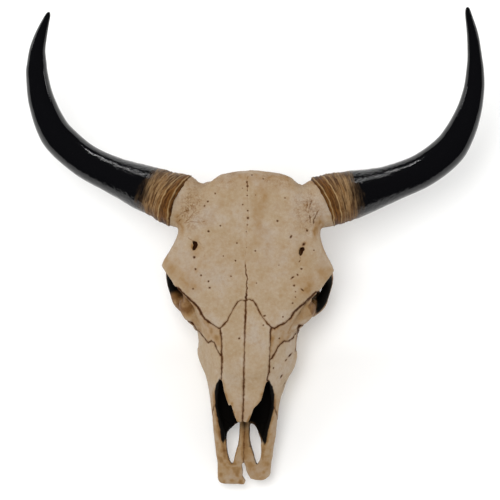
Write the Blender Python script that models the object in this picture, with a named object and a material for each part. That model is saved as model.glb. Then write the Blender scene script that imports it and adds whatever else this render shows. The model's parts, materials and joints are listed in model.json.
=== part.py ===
# Skull of a horned cow without its lower jaw, lying face up as it rests on a table: on the worn rear
# cheek teeth and the two jugular processes.
#
# Shapes are given in millimetres in the skull's own frame: x across, y along the face from about the
# tip of the muzzle (0) to the poll, z out of the flat forehead (0) and negative into the skull. At the end the
# skull is tipped until it rests, centred over its origin and turned into metres. The muzzle points
# to -y, so the animal's left side is +x.

from math import cos, pi, radians, sin, tan

import bmesh
import bpy
import numpy as np
from mathutils import Matrix, Vector

POLL_Y = 471.0
MUZZLE_Y = -11.0  # tip of the right premaxilla; the left one is a little shorter
REST_TILT = radians(10)  # forehead against the table
TABLE_Y, TABLE_Z = 235.0, -164.0  # where the table meets the last cheek teeth
MIDDLE_Y = 363.1  # middle of the whole length at rest, horns included
JOINT_GAP = 0.3  # between bones that meet at a suture
MM = 0.001

BROAD_VOXEL, BROAD_SMOOTHING = 4.0, 6  # first blend, of the broad forms
FINE_VOXEL, FINE_SMOOTHING = 2.6, 3  # second blend, with the slender forms and the holes
BONE_TRIANGLES = 4700

BONE_COLOUR, BONE_ROUGHNESS = (0.41, 0.31, 0.21), 0.6
HORN_COLOUR, HORN_ROUGHNESS = (0.012, 0.011, 0.012), 0.28

# One row of half a cross-section: y, crown z, then x and z of the roof's shoulder, the roof's edge,
# below that edge, the wall's top, the wall's foot and the base's corner, and last the base's z.
TRUNK_ROWS = (
    (POLL_Y, -24, 9, -24, 15, -27, 17, -31, 16, -36, 12, -40, 7, -43, -44),
    (467, -14, 26, -14, 40, -18, 44, -28, 40, -40, 33, -50, 19, -57, -58),
    (461, -8, 36, -8, 54, -13, 57, -28, 54, -46, 47, -60, 30, -71, -73),
    (452, -5, 42, -5, 63, -10, 68, -30, 64, -56, 57, -80, 36, -94, -97),
    (440, -2, 50, -2, 75, -8, 82, -32, 68, -66, 68, -98, 44, -119, -123),
    (424, 0, 58, 0, 88, -7, 96, -32, 65, -62, 86, -108, 40, -139, -141),
    (404, 0, 64, 0, 97, -7, 100, -32, 61, -56, 88, -108, 36, -140, -140),
    (388, 0, 66, 0, 101, -8, 103, -32, 58, -48, 70, -102, 31, -136, -137),
    (372, 0, 68, 0, 102, -9, 104, -33, 57, -46, 62, -98, 30, -131, -134),
    (350, 0, 72, 0, 111, -12, 113, -34, 55, -47, 55, -94, 27, -126, -132),
    (325, 0, 76, 0, 122, -17, 127, -34, 52, -46, 50, -90, 22, -120, -128),
    (310, 0, 76, 0, 114, -12, 118, -28, 49, -45, 46, -90, 20, -118, -124),
    (290, 0, 70, 0, 101, -8, 104, -24, 48, -45, 46, -90, 20, -118, -121),
    (275, 0, 62, 0, 86, -7, 89, -24, 52, -46, 50, -92, 24, -122, -119),
    (262, -1, 54, -1, 74, -8, 80, -26, 70, -56, 64, -94, 42, -130, -118),
    (250, -1, 47, -1, 66, -8, 78, -32, 82, -64, 76, -94, 64, -136, -118),
    (235, -1, 38, -1, 52, -7, 70, -34, 79, -68, 74, -92, 65, -140, -122),
    (215, -2, 33, -2, 45, -8, 63, -34, 75, -74, 70, -94, 65, -138, -121),
    (190, -3, 30, -3, 40, -9, 59, -36, 77, -77, 68, -95, 64, -133, -116),
    (170, -4, 28, -4, 37, -10, 54, -38, 69, -74, 63, -92, 61, -129, -112),
    (157, -8, 26, -8, 34, -14, 50, -38, 62, -70, 59, -90, 58, -126, -108),
    (148, -18, 26, -18, 36, -22, 49, -38, 60, -68, 57, -88, 56, -123, -106),
    (134, -34, 26, -34, 42, -36, 48, -44, 56, -67, 54, -87, 53, -120, -103),
    (120, -45, 24, -46, 42, -46, 48, -52, 53, -68, 51, -85, 47, -108, -100),
    (96, -54, 22, -54, 38, -54, 45, -60, 50, -72, 49, -84, 42, -98, -97),
    (55, -66, 20, -66, 37, -68, 44, -74, 47, -80, 45, -88, 34, -94, -93),
    (22, -75, 18, -75, 36, -76, 41, -79, 43, -84, 41, -88, 30, -91, -91),
    (0, -79, 14, -79, 36, -80, 41, -82, 42, -84, 39, -87, 26, -91, -91),
    (MUZZLE_Y, -81, 12, -81, 31, -82, 35, -83, 36, -85, 33, -88, 20, -90, -90),
)

# Cheek teeth from the rearmost: length along the row and width, three molars and three premolars.
CHEEK_TEETH = ((28, 25), (27, 26), (24, 25), (19, 22), (17, 19), (15, 16))
TOOTH_ROW_REAR = 246.0

# The bones' outlines, for the animal's left side: x and y seen from above, or y and z from the side.
NASAL_OUTLINE = ((0.15, 275), (8.5, 276.5), (13, 272.5), (29, 244), (37.8, 234), (36, 215), (35, 190),
                 (34, 157), (36, 150), (36, 85), (0.15, 85))
LACRIMAL_OUTLINE = ((38.1, 233.7), (50, 239), (64, 246), (72, 262), (90, 277), (104, 291), (135, 291),
                    (135, 240), (80, 240), (66, 222), (53, 212), (44, 203), (36, 196))
ZYGOMATIC_OUTLINE = ((70, 195), (72, 235), (74, 262), (80, 345), (150, 345), (150, 195))
MAXILLA_OUTLINE = ((0.15, -20), (0.15, 236), (38, 236), (42, 249), (72, 249), (76, 262), (110, 262), (110, -20))
PREMAXILLA_SIDE = ((-20, -30), (132, -30), (60, -115), (-20, -115))
FRONTAL_SIDE = ((233, -42), (386, -42), (394, -76), (490, -76), (490, 20), (233, 20))

# Middle line of a horn, for both sides alike, and its radius; the tips differ.
HORN_PATH = ((80, 418, -38), (107, 426, -38), (134, 433.5, -41), (162.5, 441.5, -44), (188.5, 450.5, -48),
             (214.5, 460.5, -51), (255.5, 480, -54), (294, 510.5, -55), (312.5, 537.5, -54), (326, 572, -51),
             (332, 606.5, -46), (333, 640, -40), (328, 672, -33))
HORN_RADII = (39.5, 39.5, 38, 36, 31.8, 28.4, 26.5, 26, 23.6, 20.4, 17.6, 14.4, 10.8)
HORN_TIPS = {1: ((324.5, 696, -27), (318, 727, -19)), -1: ((323.5, 689, -29), (315.5, 704, -25))}
TIP_RADII = (8.4, 2.2)
SHEATH_EDGE, SHEATH_ALONG = Vector((107, 427, 0)), Vector((0.92, 0.39, 0)).normalized()


# Drawing of plain forms

def smooth_row(points, steps, closed=False):
    """Points with Catmull-Rom spans of the given number of steps between them."""
    points = np.asarray(points, float)
    count = len(points)
    found = []
    for i in range(count if closed else count - 1):
        around = [i + k for k in (-1, 0, 1, 2)]
        places = [k % count if closed else min(max(k, 0), count - 1) for k in around]
        a, b, c, d = points[places]
        for step in range(steps):
            t = step / steps
            found.append(0.5 * (2 * b + (c - a) * t + (2 * a - 5 * b + 4 * c - d) * t * t
                                + (3 * b - a - 3 * c + d) * t ** 3))
    if not closed:
        found.append(points[-1])
    return np.array(found)


def shell(mesh, rings):
    """One closed shell through rings of points, with a flat cap at each end."""
    loops = [[mesh.verts.new(point) for point in ring] for ring in rings]
    for near, far in zip(loops, loops[1:]):
        for i in range(len(near)):
            j = (i + 1) % len(near)
            mesh.faces.new((near[i], near[j], far[j], far[i]))
    mesh.faces.new(loops[0][::-1])
    mesh.faces.new(loops[-1])


def sweep(mesh, path, sizes, up=(0, 0, 1), power=2.0, steps=4, sides=20):
    """A shell whose superellipse section, half wide by half high, follows a smooth path."""
    rows = smooth_row([(*point, *size) for point, size in zip(path, sizes)], steps)
    rings = []
    for i, row in enumerate(rows):
        ahead, behind = rows[min(i + 1, len(rows) - 1)], rows[max(i - 1, 0)]
        along = Vector(ahead[:3] - behind[:3]).normalized()
        side = along.cross(Vector(up)).normalized()
        high = side.cross(along)
        ring = []
        for k in range(sides):
            c, s = cos(2 * pi * k / sides), sin(2 * pi * k / sides)
            wide = row[3] * abs(c) ** (2 / power) * (1 if c > 0 else -1)
            tall = row[4] * abs(s) ** (2 / power) * (1 if s > 0 else -1)
            ring.append(Vector(row[:3]) + side * wide + high * tall)
        rings.append(ring)
    shell(mesh, rings)


def egg(mesh, centre, radii, turn=(0, 0, 0)):
    """An ellipsoid, turned about x, y and z by the given degrees."""
    place = Matrix.Translation(centre)
    for angle, axis in zip(turn, "XYZ"):
        place = place @ Matrix.Rotation(radians(angle), 4, axis)
    bmesh.ops.create_icosphere(mesh, subdivisions=3, radius=1, matrix=place @ Matrix.Diagonal((*radii, 1)))


def mirrored(points, side):
    return [(side * point[0], *point[1:]) for point in points]


def table_z(y):
    return TABLE_Z - (y - TABLE_Y) * tan(REST_TILT)


# Broad forms of the skull

def trunk(mesh):
    """Braincase, forehead and face: both halves of every cross-section in one loft."""
    rings = []
    for row in smooth_row(TRUNK_ROWS, 3):
        y, crown, base = row[0], row[1], row[-1]
        half = [(row[k], y, row[k + 1]) for k in range(2, len(row) - 1, 2)]
        ring = [(0, y, crown), *half, (0, y, base), *mirrored(half[::-1], -1)]
        rings.append(smooth_row(ring, 3, closed=True))
    shell(mesh, rings)


def horn_pedicle(mesh, side):
    path = [(52, 414, -36), (76, 418, -36), (96, 423, -37), (123, 430, -39)]
    sizes = [(27, 28), (30, 30), (37, 34), (38.5, 36)]
    sweep(mesh, mirrored(path, side), sizes)


def occiput(mesh, side):
    """The neck's end: condyle, mastoid corner, nuchal ridge and the root of the jugular process."""
    egg(mesh, (side * 27, 420, -148), (20, 19, 24), (20, 0, side * -15))
    egg(mesh, (side * 13, 398, -146), (11, 18, 9))
    egg(mesh, (side * 84, 405, -112), (16, 19, 22))
    egg(mesh, (side * 18, 446, -94), (20, 12, 20))
    ridge = [(68, 448, -52), (73, 440, -78), (86, 424, -104)]
    sweep(mesh, mirrored(ridge, side), [(8, 9), (9, 9), (10, 9)])
    process = [(80, 404, -112), (70, 403, -140), (62, 401, -164)]
    sweep(mesh, mirrored(process, side), [(18, 20), (15, 17), (10, 13)], up=(0, 1, 0))


def skull_base(mesh, side):
    """The jaw's joint surface and tubercle, the ear capsule and the rear of the cheek arch."""
    egg(mesh, (side * 42, 376, -140), (13, 19, 17))
    joint = [(48, 356, -102), (72, 356, -100), (97, 360, -96)]
    sweep(mesh, mirrored(joint, side), [(17, 10), (17, 11), (13, 10)])
    arch = [(98, 352, -93), (96, 372, -96), (88, 394, -102)]
    sweep(mesh, mirrored(arch, side), [(8, 11), (8, 13), (12, 16)])


def cheek_bone(mesh, side):
    """The broad plate of the cheek below and in front of the eye socket."""
    path = [(64, 196, -78), (66, 216, -78), (70, 236, -79), (80, 250, -81), (94, 263, -83), (105, 275, -85)]
    sizes = [(7, 9), (10, 13), (12, 17), (12, 18), (12, 18), (11, 16)]
    sweep(mesh, mirrored(path, side), sizes)


# Slender forms of the skull

def eye_socket_rim(mesh, side):
    """A ring round the socket, thickest behind, where it is the bar between forehead and cheek."""
    centre, outward = Vector((side * 101, 290, -53)), Vector((side * 0.83, -0.52, 0.2)).normalized()
    rearward = Vector((side * 0.52, 0.83, 0)).normalized()
    upright = outward.cross(rearward)
    around, sides = 28, 12
    loops = []
    for i in range(around):
        turn = 2 * pi * i / around
        spoke = rearward * cos(turn) * 39 + upright * sin(turn) * 34
        broad = 6.5 + 3.5 * max(cos(turn), 0)
        ring = []
        for k in range(sides):
            angle = 2 * pi * k / sides
            ring.append(centre + spoke + spoke.normalized() * cos(angle) * broad + outward * sin(angle) * 7.5)
        loops.append([mesh.verts.new(point) for point in ring])
    for near, far in zip(loops, loops[1:] + loops[:1]):
        for k in range(sides):
            j = (k + 1) % sides
            mesh.faces.new((near[k], near[j], far[j], far[k]))


def cheek_arch(mesh, side):
    path = [(96, 258, -84), (109, 271, -88), (116, 288, -90), (119, 307, -91), (113, 332, -92),
            (104, 354, -93), (96, 376, -95)]
    sizes = [(9, 14), (9, 14), (7, 12), (6, 11), (6, 10), (6, 10), (6, 11)]
    sweep(mesh, mirrored(path, side), sizes)


def jugular_process(mesh, side):
    path = [(70, 403, -135), (62, 401, -160), (54, 398, -184), (50, 397, -200)]
    sweep(mesh, mirrored(path, side), [(14, 17), (9.5, 15), (7.5, 12.5), (7, 11)], up=(0, 1, 0))


def ear_tube(mesh, side):
    sweep(mesh, mirrored([(80, 393, -104), (97, 392, -109)], side), [(12, 12), (9, 9)])


def palate_plates(mesh, side):
    path = [(31, 212, -118), (28, 240, -122), (25, 268, -124), (22, 300, -118)]
    sweep(mesh, mirrored(path, side), [(4.5, 18), (4, 26), (3.6, 28), (3.6, 18)], power=3)


def cheek_teeth(mesh, side):
    """Six teeth, each wearing down to the chewing plane; the rear ones end on the table."""
    rear = TOOTH_ROW_REAR
    for length, width in CHEEK_TEETH:
        y = rear - length / 2
        x = 57 - (TOOTH_ROW_REAR - y) * 0.075
        top, foot = -120 + (TOOTH_ROW_REAR - y) * 0.17, table_z(y) - 2 + (TABLE_Y - y) * 0.03
        path = [(x, y, top), (x, y, (top + foot) / 2), (x, y, foot)]
        sweep(mesh, mirrored(path, side), [(length / 2 - 0.6, width / 2)] * 3, up=(1, 0, 0), power=4, steps=1)
        rear -= length


def nasal_roof(mesh, side):
    """A nasal bone: an arched plate that tapers to a point over the open nose."""
    path = [(12, 278, -8), (17, 255, -9), (19, 234, -9), (18.5, 200, -11), (17.5, 160, -14), (15.5, 140, -15.5),
            (12, 122, -17), (7.2, 106, -18), (5, 92, -20)]
    sizes = [(6, 7), (14, 8), (19, 8), (18.5, 8), (17, 6), (15, 5), (11, 4.4), (6.6, 4), (3.6, 3)]
    sweep(mesh, mirrored(path, side), sizes, power=3)


# Hollows and holes

def nasal_cavity(mesh):
    path = [(0, 238, -55), (0, 215, -56), (0, 185, -56), (0, 157, -56), (0, 135, -56), (0, 110, -58),
            (0, 86, -62), (0, 60, -70), (0, 36, -74)]
    sizes = [(14, 25), (24, 38), (32, 40), (36, 40), (41, 38), (40, 34), (34, 28), (29, 18), (22, 8)]
    sweep(mesh, path, sizes, power=3)


def palatine_fissure(mesh, side):
    path = [(17.3, 56, -60), (17.3, 56, -84), (17.3, 56, -110)]
    sweep(mesh, mirrored(path, side), [(8.6, 32)] * 3, up=(side * -0.16, 1, 0), steps=1)


def incisive_notch(mesh):
    path = [(3, 30, -86), (4, 16, -86), (6.5, 3, -86), (11, -6, -86), (28, -22, -86)]
    sweep(mesh, path, [(1.6, 20), (2.6, 20), (4, 20), (7, 20), (22, 20)])


def foramen_magnum(mesh):
    sweep(mesh, [(0, 390, -116), (0, 428, -128), (0, 460, -138)], [(14, 12), (18, 16), (21, 19)])


def choana(mesh):
    sweep(mesh, [(0, 236, -112), (0, 262, -116), (0, 312, -124)], [(13, 8), (17, 14), (17, 14)], power=3)


def ear_opening(mesh, side):
    sweep(mesh, mirrored([(80, 394, -104), (110, 392, -111)], side), [(4, 4), (4.5, 4.5)])


def infraorbital_foramen(mesh, side):
    sweep(mesh, mirrored([(50, 172, -72), (56, 148, -70), (66, 122, -66)], side), [(4, 4), (5, 5), (7, 6)])


def supraorbital_foramen(mesh, side):
    egg(mesh, (side * 79, 357, -4), (4, 6, 9))


# Horn sheaths

def horn(mesh, side):
    path, radii = HORN_PATH + HORN_TIPS[side], HORN_RADII + TIP_RADII
    sweep(mesh, mirrored(path, side), [(r, r * 0.94) for r in radii], steps=2, sides=14)


def sheath_block(side, shift):
    """Seen from above, all that lies on the horn's side of the sheath's edge, moved out by the shift."""
    across = Vector((-SHEATH_ALONG.y, SHEATH_ALONG.x, 0)) * 700
    near = SHEATH_EDGE + SHEATH_ALONG * shift
    far = near + SHEATH_ALONG * 700
    return [(side * corner.x, corner.y) for corner in (near - across, near + across, far + across, far - across)]


# Objects, cuts and blends

def make(name, forms):
    """A mesh object, in millimetres, of whatever closed shells the forms add."""
    mesh = bmesh.new()
    for form in forms:
        form(mesh)
    bmesh.ops.recalc_face_normals(mesh, faces=mesh.faces)
    data = bpy.data.meshes.new(name)
    mesh.to_mesh(data)
    mesh.free()
    obj = bpy.data.objects.new(name, data)
    bpy.context.scene.collection.objects.link(obj)
    return obj


def both(*forms):
    """Each form on the left side and on the right."""
    return [lambda mesh, form=form, side=side: form(mesh, side) for form in forms for side in (1, -1)]


def bake(obj):
    """Puts the mesh that the modifiers make in the place of the modifiers."""
    graph = bpy.context.evaluated_depsgraph_get()
    graph.update()
    done = bpy.data.meshes.new_from_object(obj.evaluated_get(graph))
    obj.modifiers.clear()
    obj.data = done


def blend(obj, voxel, smoothing):
    """Unites the object's overlapping shells and rounds off where they meet."""
    modifier = obj.modifiers.new("voxels", "REMESH")
    modifier.mode = "VOXEL"
    modifier.voxel_size = voxel
    modifier = obj.modifiers.new("smooth", "SMOOTH")
    modifier.factor = 0.5
    modifier.iterations = smoothing
    bake(obj)


def add(obj, forms):
    """Adds closed shells to the object's mesh, to be united with it by the next blend."""
    mesh = bmesh.new()
    mesh.from_mesh(obj.data)
    for form in forms:
        form(mesh)
    bmesh.ops.recalc_face_normals(mesh, faces=mesh.faces)
    mesh.to_mesh(obj.data)
    mesh.free()


def cut(obj, cutter, operation="DIFFERENCE"):
    """Cuts the object with the cutter, which is used up."""
    cutter.hide_render = True
    cutter.display_type = "WIRE"
    modifier = obj.modifiers.new("cut", "BOOLEAN")
    modifier.operation = operation
    modifier.object = cutter
    bake(obj)
    bpy.data.objects.remove(cutter)


def prism(outline, low, high, axis="Z"):
    """An outline of x and y made solid along z, or one of y and z made solid along x."""
    rings = [[(a, b, h) if axis == "Z" else (h, a, b) for a, b in outline] for h in (low, high)]
    return make("prism", [lambda mesh: shell(mesh, rings)])


def grown(outline, gap):
    """The outline with every edge moved outwards by the gap."""
    points = [Vector(point) for point in outline]
    area = sum(a.cross(b) for a, b in zip(points, points[1:] + points[:1]))
    turn = 1 if area > 0 else -1
    found = []
    for a, b, c in zip(points[-1:] + points[:-1], points, points[1:] + points[:1]):
        before, after = (b - a).normalized(), (c - b).normalized()
        out_before = Vector((before.y, -before.x)) * turn
        out_after = Vector((after.y, -after.x)) * turn
        found.append(b + (out_before + out_after) * gap / (1 + out_before.dot(out_after)))
    return [tuple(point) for point in found]


def largest_piece(obj):
    """Drops the crumbs that a cut leaves beside the bone."""
    mesh = bmesh.new()
    mesh.from_mesh(obj.data)
    left, pieces = set(mesh.verts), []
    while left:
        piece, edge = set(), {left.pop()}
        while edge:
            piece |= edge
            edge = {link.other_vert(vert) for vert in edge for link in vert.link_edges} - piece
        left -= piece
        pieces.append(piece)
    pieces.sort(key=len)
    bmesh.ops.delete(mesh, geom=[vert for piece in pieces[:-1] for vert in piece], context="VERTS")
    mesh.to_mesh(obj.data)
    mesh.free()


def part_off(rest, name, outline, low, high, axis="Z"):
    """Cuts the named bone from the rest of the skull, which draws back from it by the joint's gap."""
    bone = rest.copy()
    bone.data = rest.data.copy()
    bone.name = name
    bpy.context.scene.collection.objects.link(bone)
    cut(bone, prism(outline, low, high, axis), "INTERSECT")
    cut(rest, prism(grown(outline, JOINT_GAP), low - JOINT_GAP, high + JOINT_GAP, axis))
    largest_piece(bone)


# The skull and its parts

def whole_skull():
    skull = make("braincase", [trunk, *both(horn_pedicle, occiput, skull_base, cheek_bone)])
    blend(skull, BROAD_VOXEL, BROAD_SMOOTHING)
    cut(skull, make("cavity", [nasal_cavity]))
    add(skull, both(eye_socket_rim, cheek_arch, jugular_process, ear_tube, palate_plates, cheek_teeth, nasal_roof))
    blend(skull, FINE_VOXEL, 0)
    holes = both(palatine_fissure, ear_opening, infraorbital_foramen, supraorbital_foramen)
    cut(skull, make("holes", [*holes, incisive_notch, foramen_magnum, choana]))
    blend(skull, FINE_VOXEL, FINE_SMOOTHING)
    return skull


def simplify(skull):
    modifier = skull.modifiers.new("fewer", "DECIMATE")
    modifier.ratio = BONE_TRIANGLES / (2 * len(skull.data.polygons))
    bake(skull)


def stand_on_table(skull):
    """Wears the rear teeth and the jugular processes flat at the level of the table."""
    below = [(0, table_z(0)), (600, table_z(600)), (600, -400), (0, -400)]
    cut(skull, prism(below, -400, 400, axis="X"))


def part_sides(skull, side, word):
    def mine(outline):
        return [(side * a, b) for a, b in outline]
    cut(skull, prism(sheath_block(side, -JOINT_GAP), -150, 100))
    sheath = make("horn_" + word, [lambda mesh: horn(mesh, side)])
    cut(sheath, prism(sheath_block(side, 0), -150, 100), "INTERSECT")
    part_off(skull, "nasal_" + word, mine(NASAL_OUTLINE), -24, 20)
    part_off(skull, "lacrimal_" + word, mine(LACRIMAL_OUTLINE), -56, 20)
    part_off(skull, "zygomatic_" + word, mine(ZYGOMATIC_OUTLINE), -106, -42)
    low, high = (0.15, 100) if side == 1 else (-100, -0.15)
    part_off(skull, "premaxilla_" + word, PREMAXILLA_SIDE, low, high, axis="X")


def colour(obj, name, base, roughness):
    material = bpy.data.materials.new(name)
    material.use_nodes = True
    shader = material.node_tree.nodes["Principled BSDF"]
    shader.inputs["Base Color"].default_value = (*base, 1)
    shader.inputs["Roughness"].default_value = roughness
    shader.inputs["Metallic"].default_value = 0.0
    obj.data.materials.clear()
    obj.data.materials.append(material)


def build():
    for obj in list(bpy.data.objects):
        bpy.data.objects.remove(obj)
    skull = whole_skull()
    simplify(skull)
    stand_on_table(skull)
    for side, word in ((1, "left"), (-1, "right")):
        part_sides(skull, side, word)
    part_off(skull, "frontal", FRONTAL_SIDE, -200, 200, axis="X")
    for side, word in ((1, "left"), (-1, "right")):
        part_off(skull, "maxilla_" + word, [(side * a, b) for a, b in MAXILLA_OUTLINE], -250, 20)
    largest_piece(skull)
    rest = Matrix.Scale(MM, 4) @ Matrix.Translation((0, -MIDDLE_Y, -rest_height())) @ Matrix.Rotation(REST_TILT, 4, "X")
    for obj in bpy.data.objects:
        obj.data.transform(rest)
        obj.data.update()
        if obj.name.startswith("horn"):
            colour(obj, "horn", HORN_COLOUR, HORN_ROUGHNESS)
        else:
            colour(obj, "bone", BONE_COLOUR, BONE_ROUGHNESS)


def rest_height():
    """The table's level once the skull is tipped, as it comes out before the skull is lifted onto it."""
    return TABLE_Y * sin(REST_TILT) + TABLE_Z * cos(REST_TILT)


build()
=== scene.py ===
import json
import time
from contextlib import contextmanager
from functools import partial
from math import cos, pi, radians, sin, tan

import bmesh
import bpy
import numpy as np
from mathutils import Matrix, Vector
from mathutils.bvhtree import BVHTree
from mathutils.geometry import delaunay_2d_cdt
from mathutils.kdtree import KDTree

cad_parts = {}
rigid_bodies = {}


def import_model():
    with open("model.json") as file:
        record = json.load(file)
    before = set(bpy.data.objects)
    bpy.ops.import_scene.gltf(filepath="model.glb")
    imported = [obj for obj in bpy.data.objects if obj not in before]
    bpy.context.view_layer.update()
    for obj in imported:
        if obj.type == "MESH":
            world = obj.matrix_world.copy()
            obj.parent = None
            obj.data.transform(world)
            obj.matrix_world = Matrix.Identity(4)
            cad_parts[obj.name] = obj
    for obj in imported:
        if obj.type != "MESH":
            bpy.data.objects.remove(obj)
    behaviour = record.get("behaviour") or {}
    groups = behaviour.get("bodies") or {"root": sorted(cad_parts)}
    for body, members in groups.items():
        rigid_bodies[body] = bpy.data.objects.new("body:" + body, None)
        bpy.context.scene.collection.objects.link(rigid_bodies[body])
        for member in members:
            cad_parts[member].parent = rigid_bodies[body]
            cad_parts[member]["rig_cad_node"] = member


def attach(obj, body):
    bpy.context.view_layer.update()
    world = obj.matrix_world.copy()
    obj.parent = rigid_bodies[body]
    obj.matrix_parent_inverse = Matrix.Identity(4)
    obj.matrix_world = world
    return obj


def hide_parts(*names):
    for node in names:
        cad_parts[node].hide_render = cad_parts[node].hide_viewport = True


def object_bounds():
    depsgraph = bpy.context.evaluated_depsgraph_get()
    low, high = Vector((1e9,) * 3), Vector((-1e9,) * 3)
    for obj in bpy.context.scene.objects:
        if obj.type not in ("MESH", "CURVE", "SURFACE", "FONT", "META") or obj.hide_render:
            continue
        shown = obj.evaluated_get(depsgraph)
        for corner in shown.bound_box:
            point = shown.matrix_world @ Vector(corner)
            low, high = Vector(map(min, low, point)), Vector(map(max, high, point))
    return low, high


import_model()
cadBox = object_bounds()
started = time.time()


def report(stage):
    print(f"{stage}: {time.time() - started:.1f} s", flush=True)


# Everything is drawn in millimetres in the skull's own frame: x across, y along the face from the muzzle
# to the poll, z out of the flat forehead and negative into the skull. At the end it is tipped until it
# rests on its last cheek teeth and its jugular processes, as the frame does.

skull = {
    "pollY": 471.0,
    "muzzleY": -11.0,
    "restTilt": 10.0,
    "tableY": 235.0,
    "tableZ": -164.0,
    "middleY": 363.1,
    "broadVoxel": 4.0,
    "broadSmoothing": 6,
    "fineVoxel": 1.1,
    "fineSmoothing": 6,
    "edgeSmoothing": 3,
    "jointGap": 0.3,
    "mostTriangles": 180000,
    "sharpAngle": 58,
}
eachSide = ((1, "left"), (-1, "right"))  # the animal's left is at +x

# One row of half a cross-section: y, crown z, then x and z of the roof's shoulder, the roof's edge,
# below that edge, the wall's top, the wall's foot and the base's corner, and last the base's z.
trunkRows = (
    (skull["pollY"], -24, 9, -24, 15, -27, 17, -31, 16, -36, 12, -40, 7, -43, -44),
    (467, -14, 26, -14, 40, -18, 44, -28, 40, -40, 33, -50, 19, -57, -58),
    (461, -8, 36, -8, 54, -13, 57, -28, 54, -46, 47, -60, 30, -71, -73),
    (452, -5, 42, -5, 63, -10, 68, -30, 64, -56, 57, -80, 36, -94, -97),
    (440, -2, 50, -2, 75, -8, 82, -32, 68, -66, 68, -98, 44, -119, -123),
    (424, 0, 58, 0, 88, -7, 96, -32, 65, -62, 86, -108, 40, -139, -141),
    (404, 0, 64, 0, 97, -7, 100, -32, 61, -56, 88, -108, 36, -140, -140),
    (388, 0, 66, 0, 101, -8, 103, -32, 58, -48, 70, -102, 31, -136, -137),
    (372, 0, 68, 0, 102, -9, 104, -33, 57, -46, 62, -98, 30, -131, -134),
    (350, 0, 72, 0, 111, -12, 113, -34, 55, -47, 55, -94, 27, -126, -132),
    (325, 0, 76, 0, 122, -17, 127, -34, 52, -46, 50, -90, 22, -120, -128),
    (310, 0, 76, 0, 114, -12, 118, -28, 49, -45, 46, -90, 20, -118, -124),
    (290, 0, 70, 0, 101, -8, 104, -24, 48, -45, 46, -90, 20, -118, -121),
    (275, 0, 62, 0, 86, -7, 89, -24, 52, -46, 50, -92, 24, -122, -119),
    (262, -1, 54, -1, 74, -8, 80, -26, 70, -56, 64, -94, 42, -130, -118),
    (250, -1, 47, -1, 66, -8, 78, -32, 82, -64, 76, -94, 64, -136, -118),
    (235, -1, 38, -1, 52, -7, 70, -34, 79, -68, 74, -92, 65, -140, -122),
    (215, -2, 33, -2, 45, -8, 63, -34, 75, -74, 70, -94, 65, -138, -121),
    (190, -3, 30, -3, 40, -9, 59, -36, 77, -77, 68, -95, 64, -133, -116),
    (170, -4, 28, -4, 37, -10, 54, -38, 69, -74, 63, -92, 61, -129, -112),
    (157, -8, 26, -8, 34, -14, 50, -38, 62, -70, 59, -90, 58, -126, -108),
    (148, -18, 26, -18, 36, -22, 49, -38, 60, -68, 57, -88, 56, -123, -106),
    (134, -34, 26, -34, 42, -36, 48, -44, 56, -67, 54, -87, 53, -120, -103),
    (120, -45, 24, -46, 42, -46, 48, -52, 53, -68, 51, -85, 47, -108, -100),
    (96, -54, 22, -54, 38, -54, 45, -60, 50, -72, 49, -84, 42, -98, -97),
    (55, -66, 20, -66, 37, -68, 44, -74, 47, -80, 45, -88, 34, -94, -93),
    (22, -75, 18, -75, 36, -76, 41, -79, 43, -84, 41, -88, 30, -91, -91),
    (0, -79, 14, -79, 36, -80, 41, -82, 42, -84, 39, -87, 26, -91, -91),
    (skull["muzzleY"], -81, 12, -81, 31, -82, 35, -83, 36, -85, 33, -88, 20, -90, -90),
)


# Drawing of plain forms

def smoothRow(points, steps, closed=False):
    # Catmull-Rom spans of the given number of steps between the points
    points = np.asarray(points, float)
    count = len(points)
    found = []
    for i in range(count if closed else count - 1):
        around = [i + k for k in (-1, 0, 1, 2)]
        places = [k % count if closed else min(max(k, 0), count - 1) for k in around]
        a, b, c, d = points[places]
        for step in range(steps):
            t = step / steps
            found.append(0.5 * (2 * b + (c - a) * t + (2 * a - 5 * b + 4 * c - d) * t * t
                                + (3 * b - a - 3 * c + d) * t ** 3))
    if not closed:
        found.append(points[-1])
    return np.array(found)


def shell(mesh, rings):
    loops = [[mesh.verts.new(point) for point in ring] for ring in rings]
    for near, far in zip(loops, loops[1:]):
        for i in range(len(near)):
            j = (i + 1) % len(near)
            mesh.faces.new((near[i], near[j], far[j], far[i]))
    mesh.faces.new(loops[0][::-1])
    mesh.faces.new(loops[-1])


def sweep(mesh, path, sizes, up=(0, 0, 1), power=2.0, steps=8, sides=44):
    # a superellipse section, half wide by half high, along a smooth path
    rows = smoothRow([(*point, *size) for point, size in zip(path, sizes)], steps)
    rings = []
    for i, row in enumerate(rows):
        ahead, behind = rows[min(i + 1, len(rows) - 1)], rows[max(i - 1, 0)]
        along = Vector(ahead[:3] - behind[:3]).normalized()
        side = along.cross(Vector(up)).normalized()
        high = side.cross(along)
        ring = []
        for k in range(sides):
            c, s = cos(2 * pi * k / sides), sin(2 * pi * k / sides)
            wide = row[3] * abs(c) ** (2 / power) * (1 if c > 0 else -1)
            tall = row[4] * abs(s) ** (2 / power) * (1 if s > 0 else -1)
            ring.append(Vector(row[:3]) + side * wide + high * tall)
        rings.append(ring)
    shell(mesh, rings)


def egg(mesh, centre, radii, turn=(0, 0, 0)):
    place = Matrix.Translation(centre)
    for angle, axis in zip(turn, "XYZ"):
        place = place @ Matrix.Rotation(radians(angle), 4, axis)
    bmesh.ops.create_icosphere(mesh, subdivisions=4, radius=1, matrix=place @ Matrix.Diagonal((*radii, 1)))


def mirrored(points, side):
    return [(side * point[0], *point[1:]) for point in points]


def tableLevel(y):
    return skull["tableZ"] - (y - skull["tableY"]) * tan(radians(skull["restTilt"]))


# Broad forms of the skull

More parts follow.
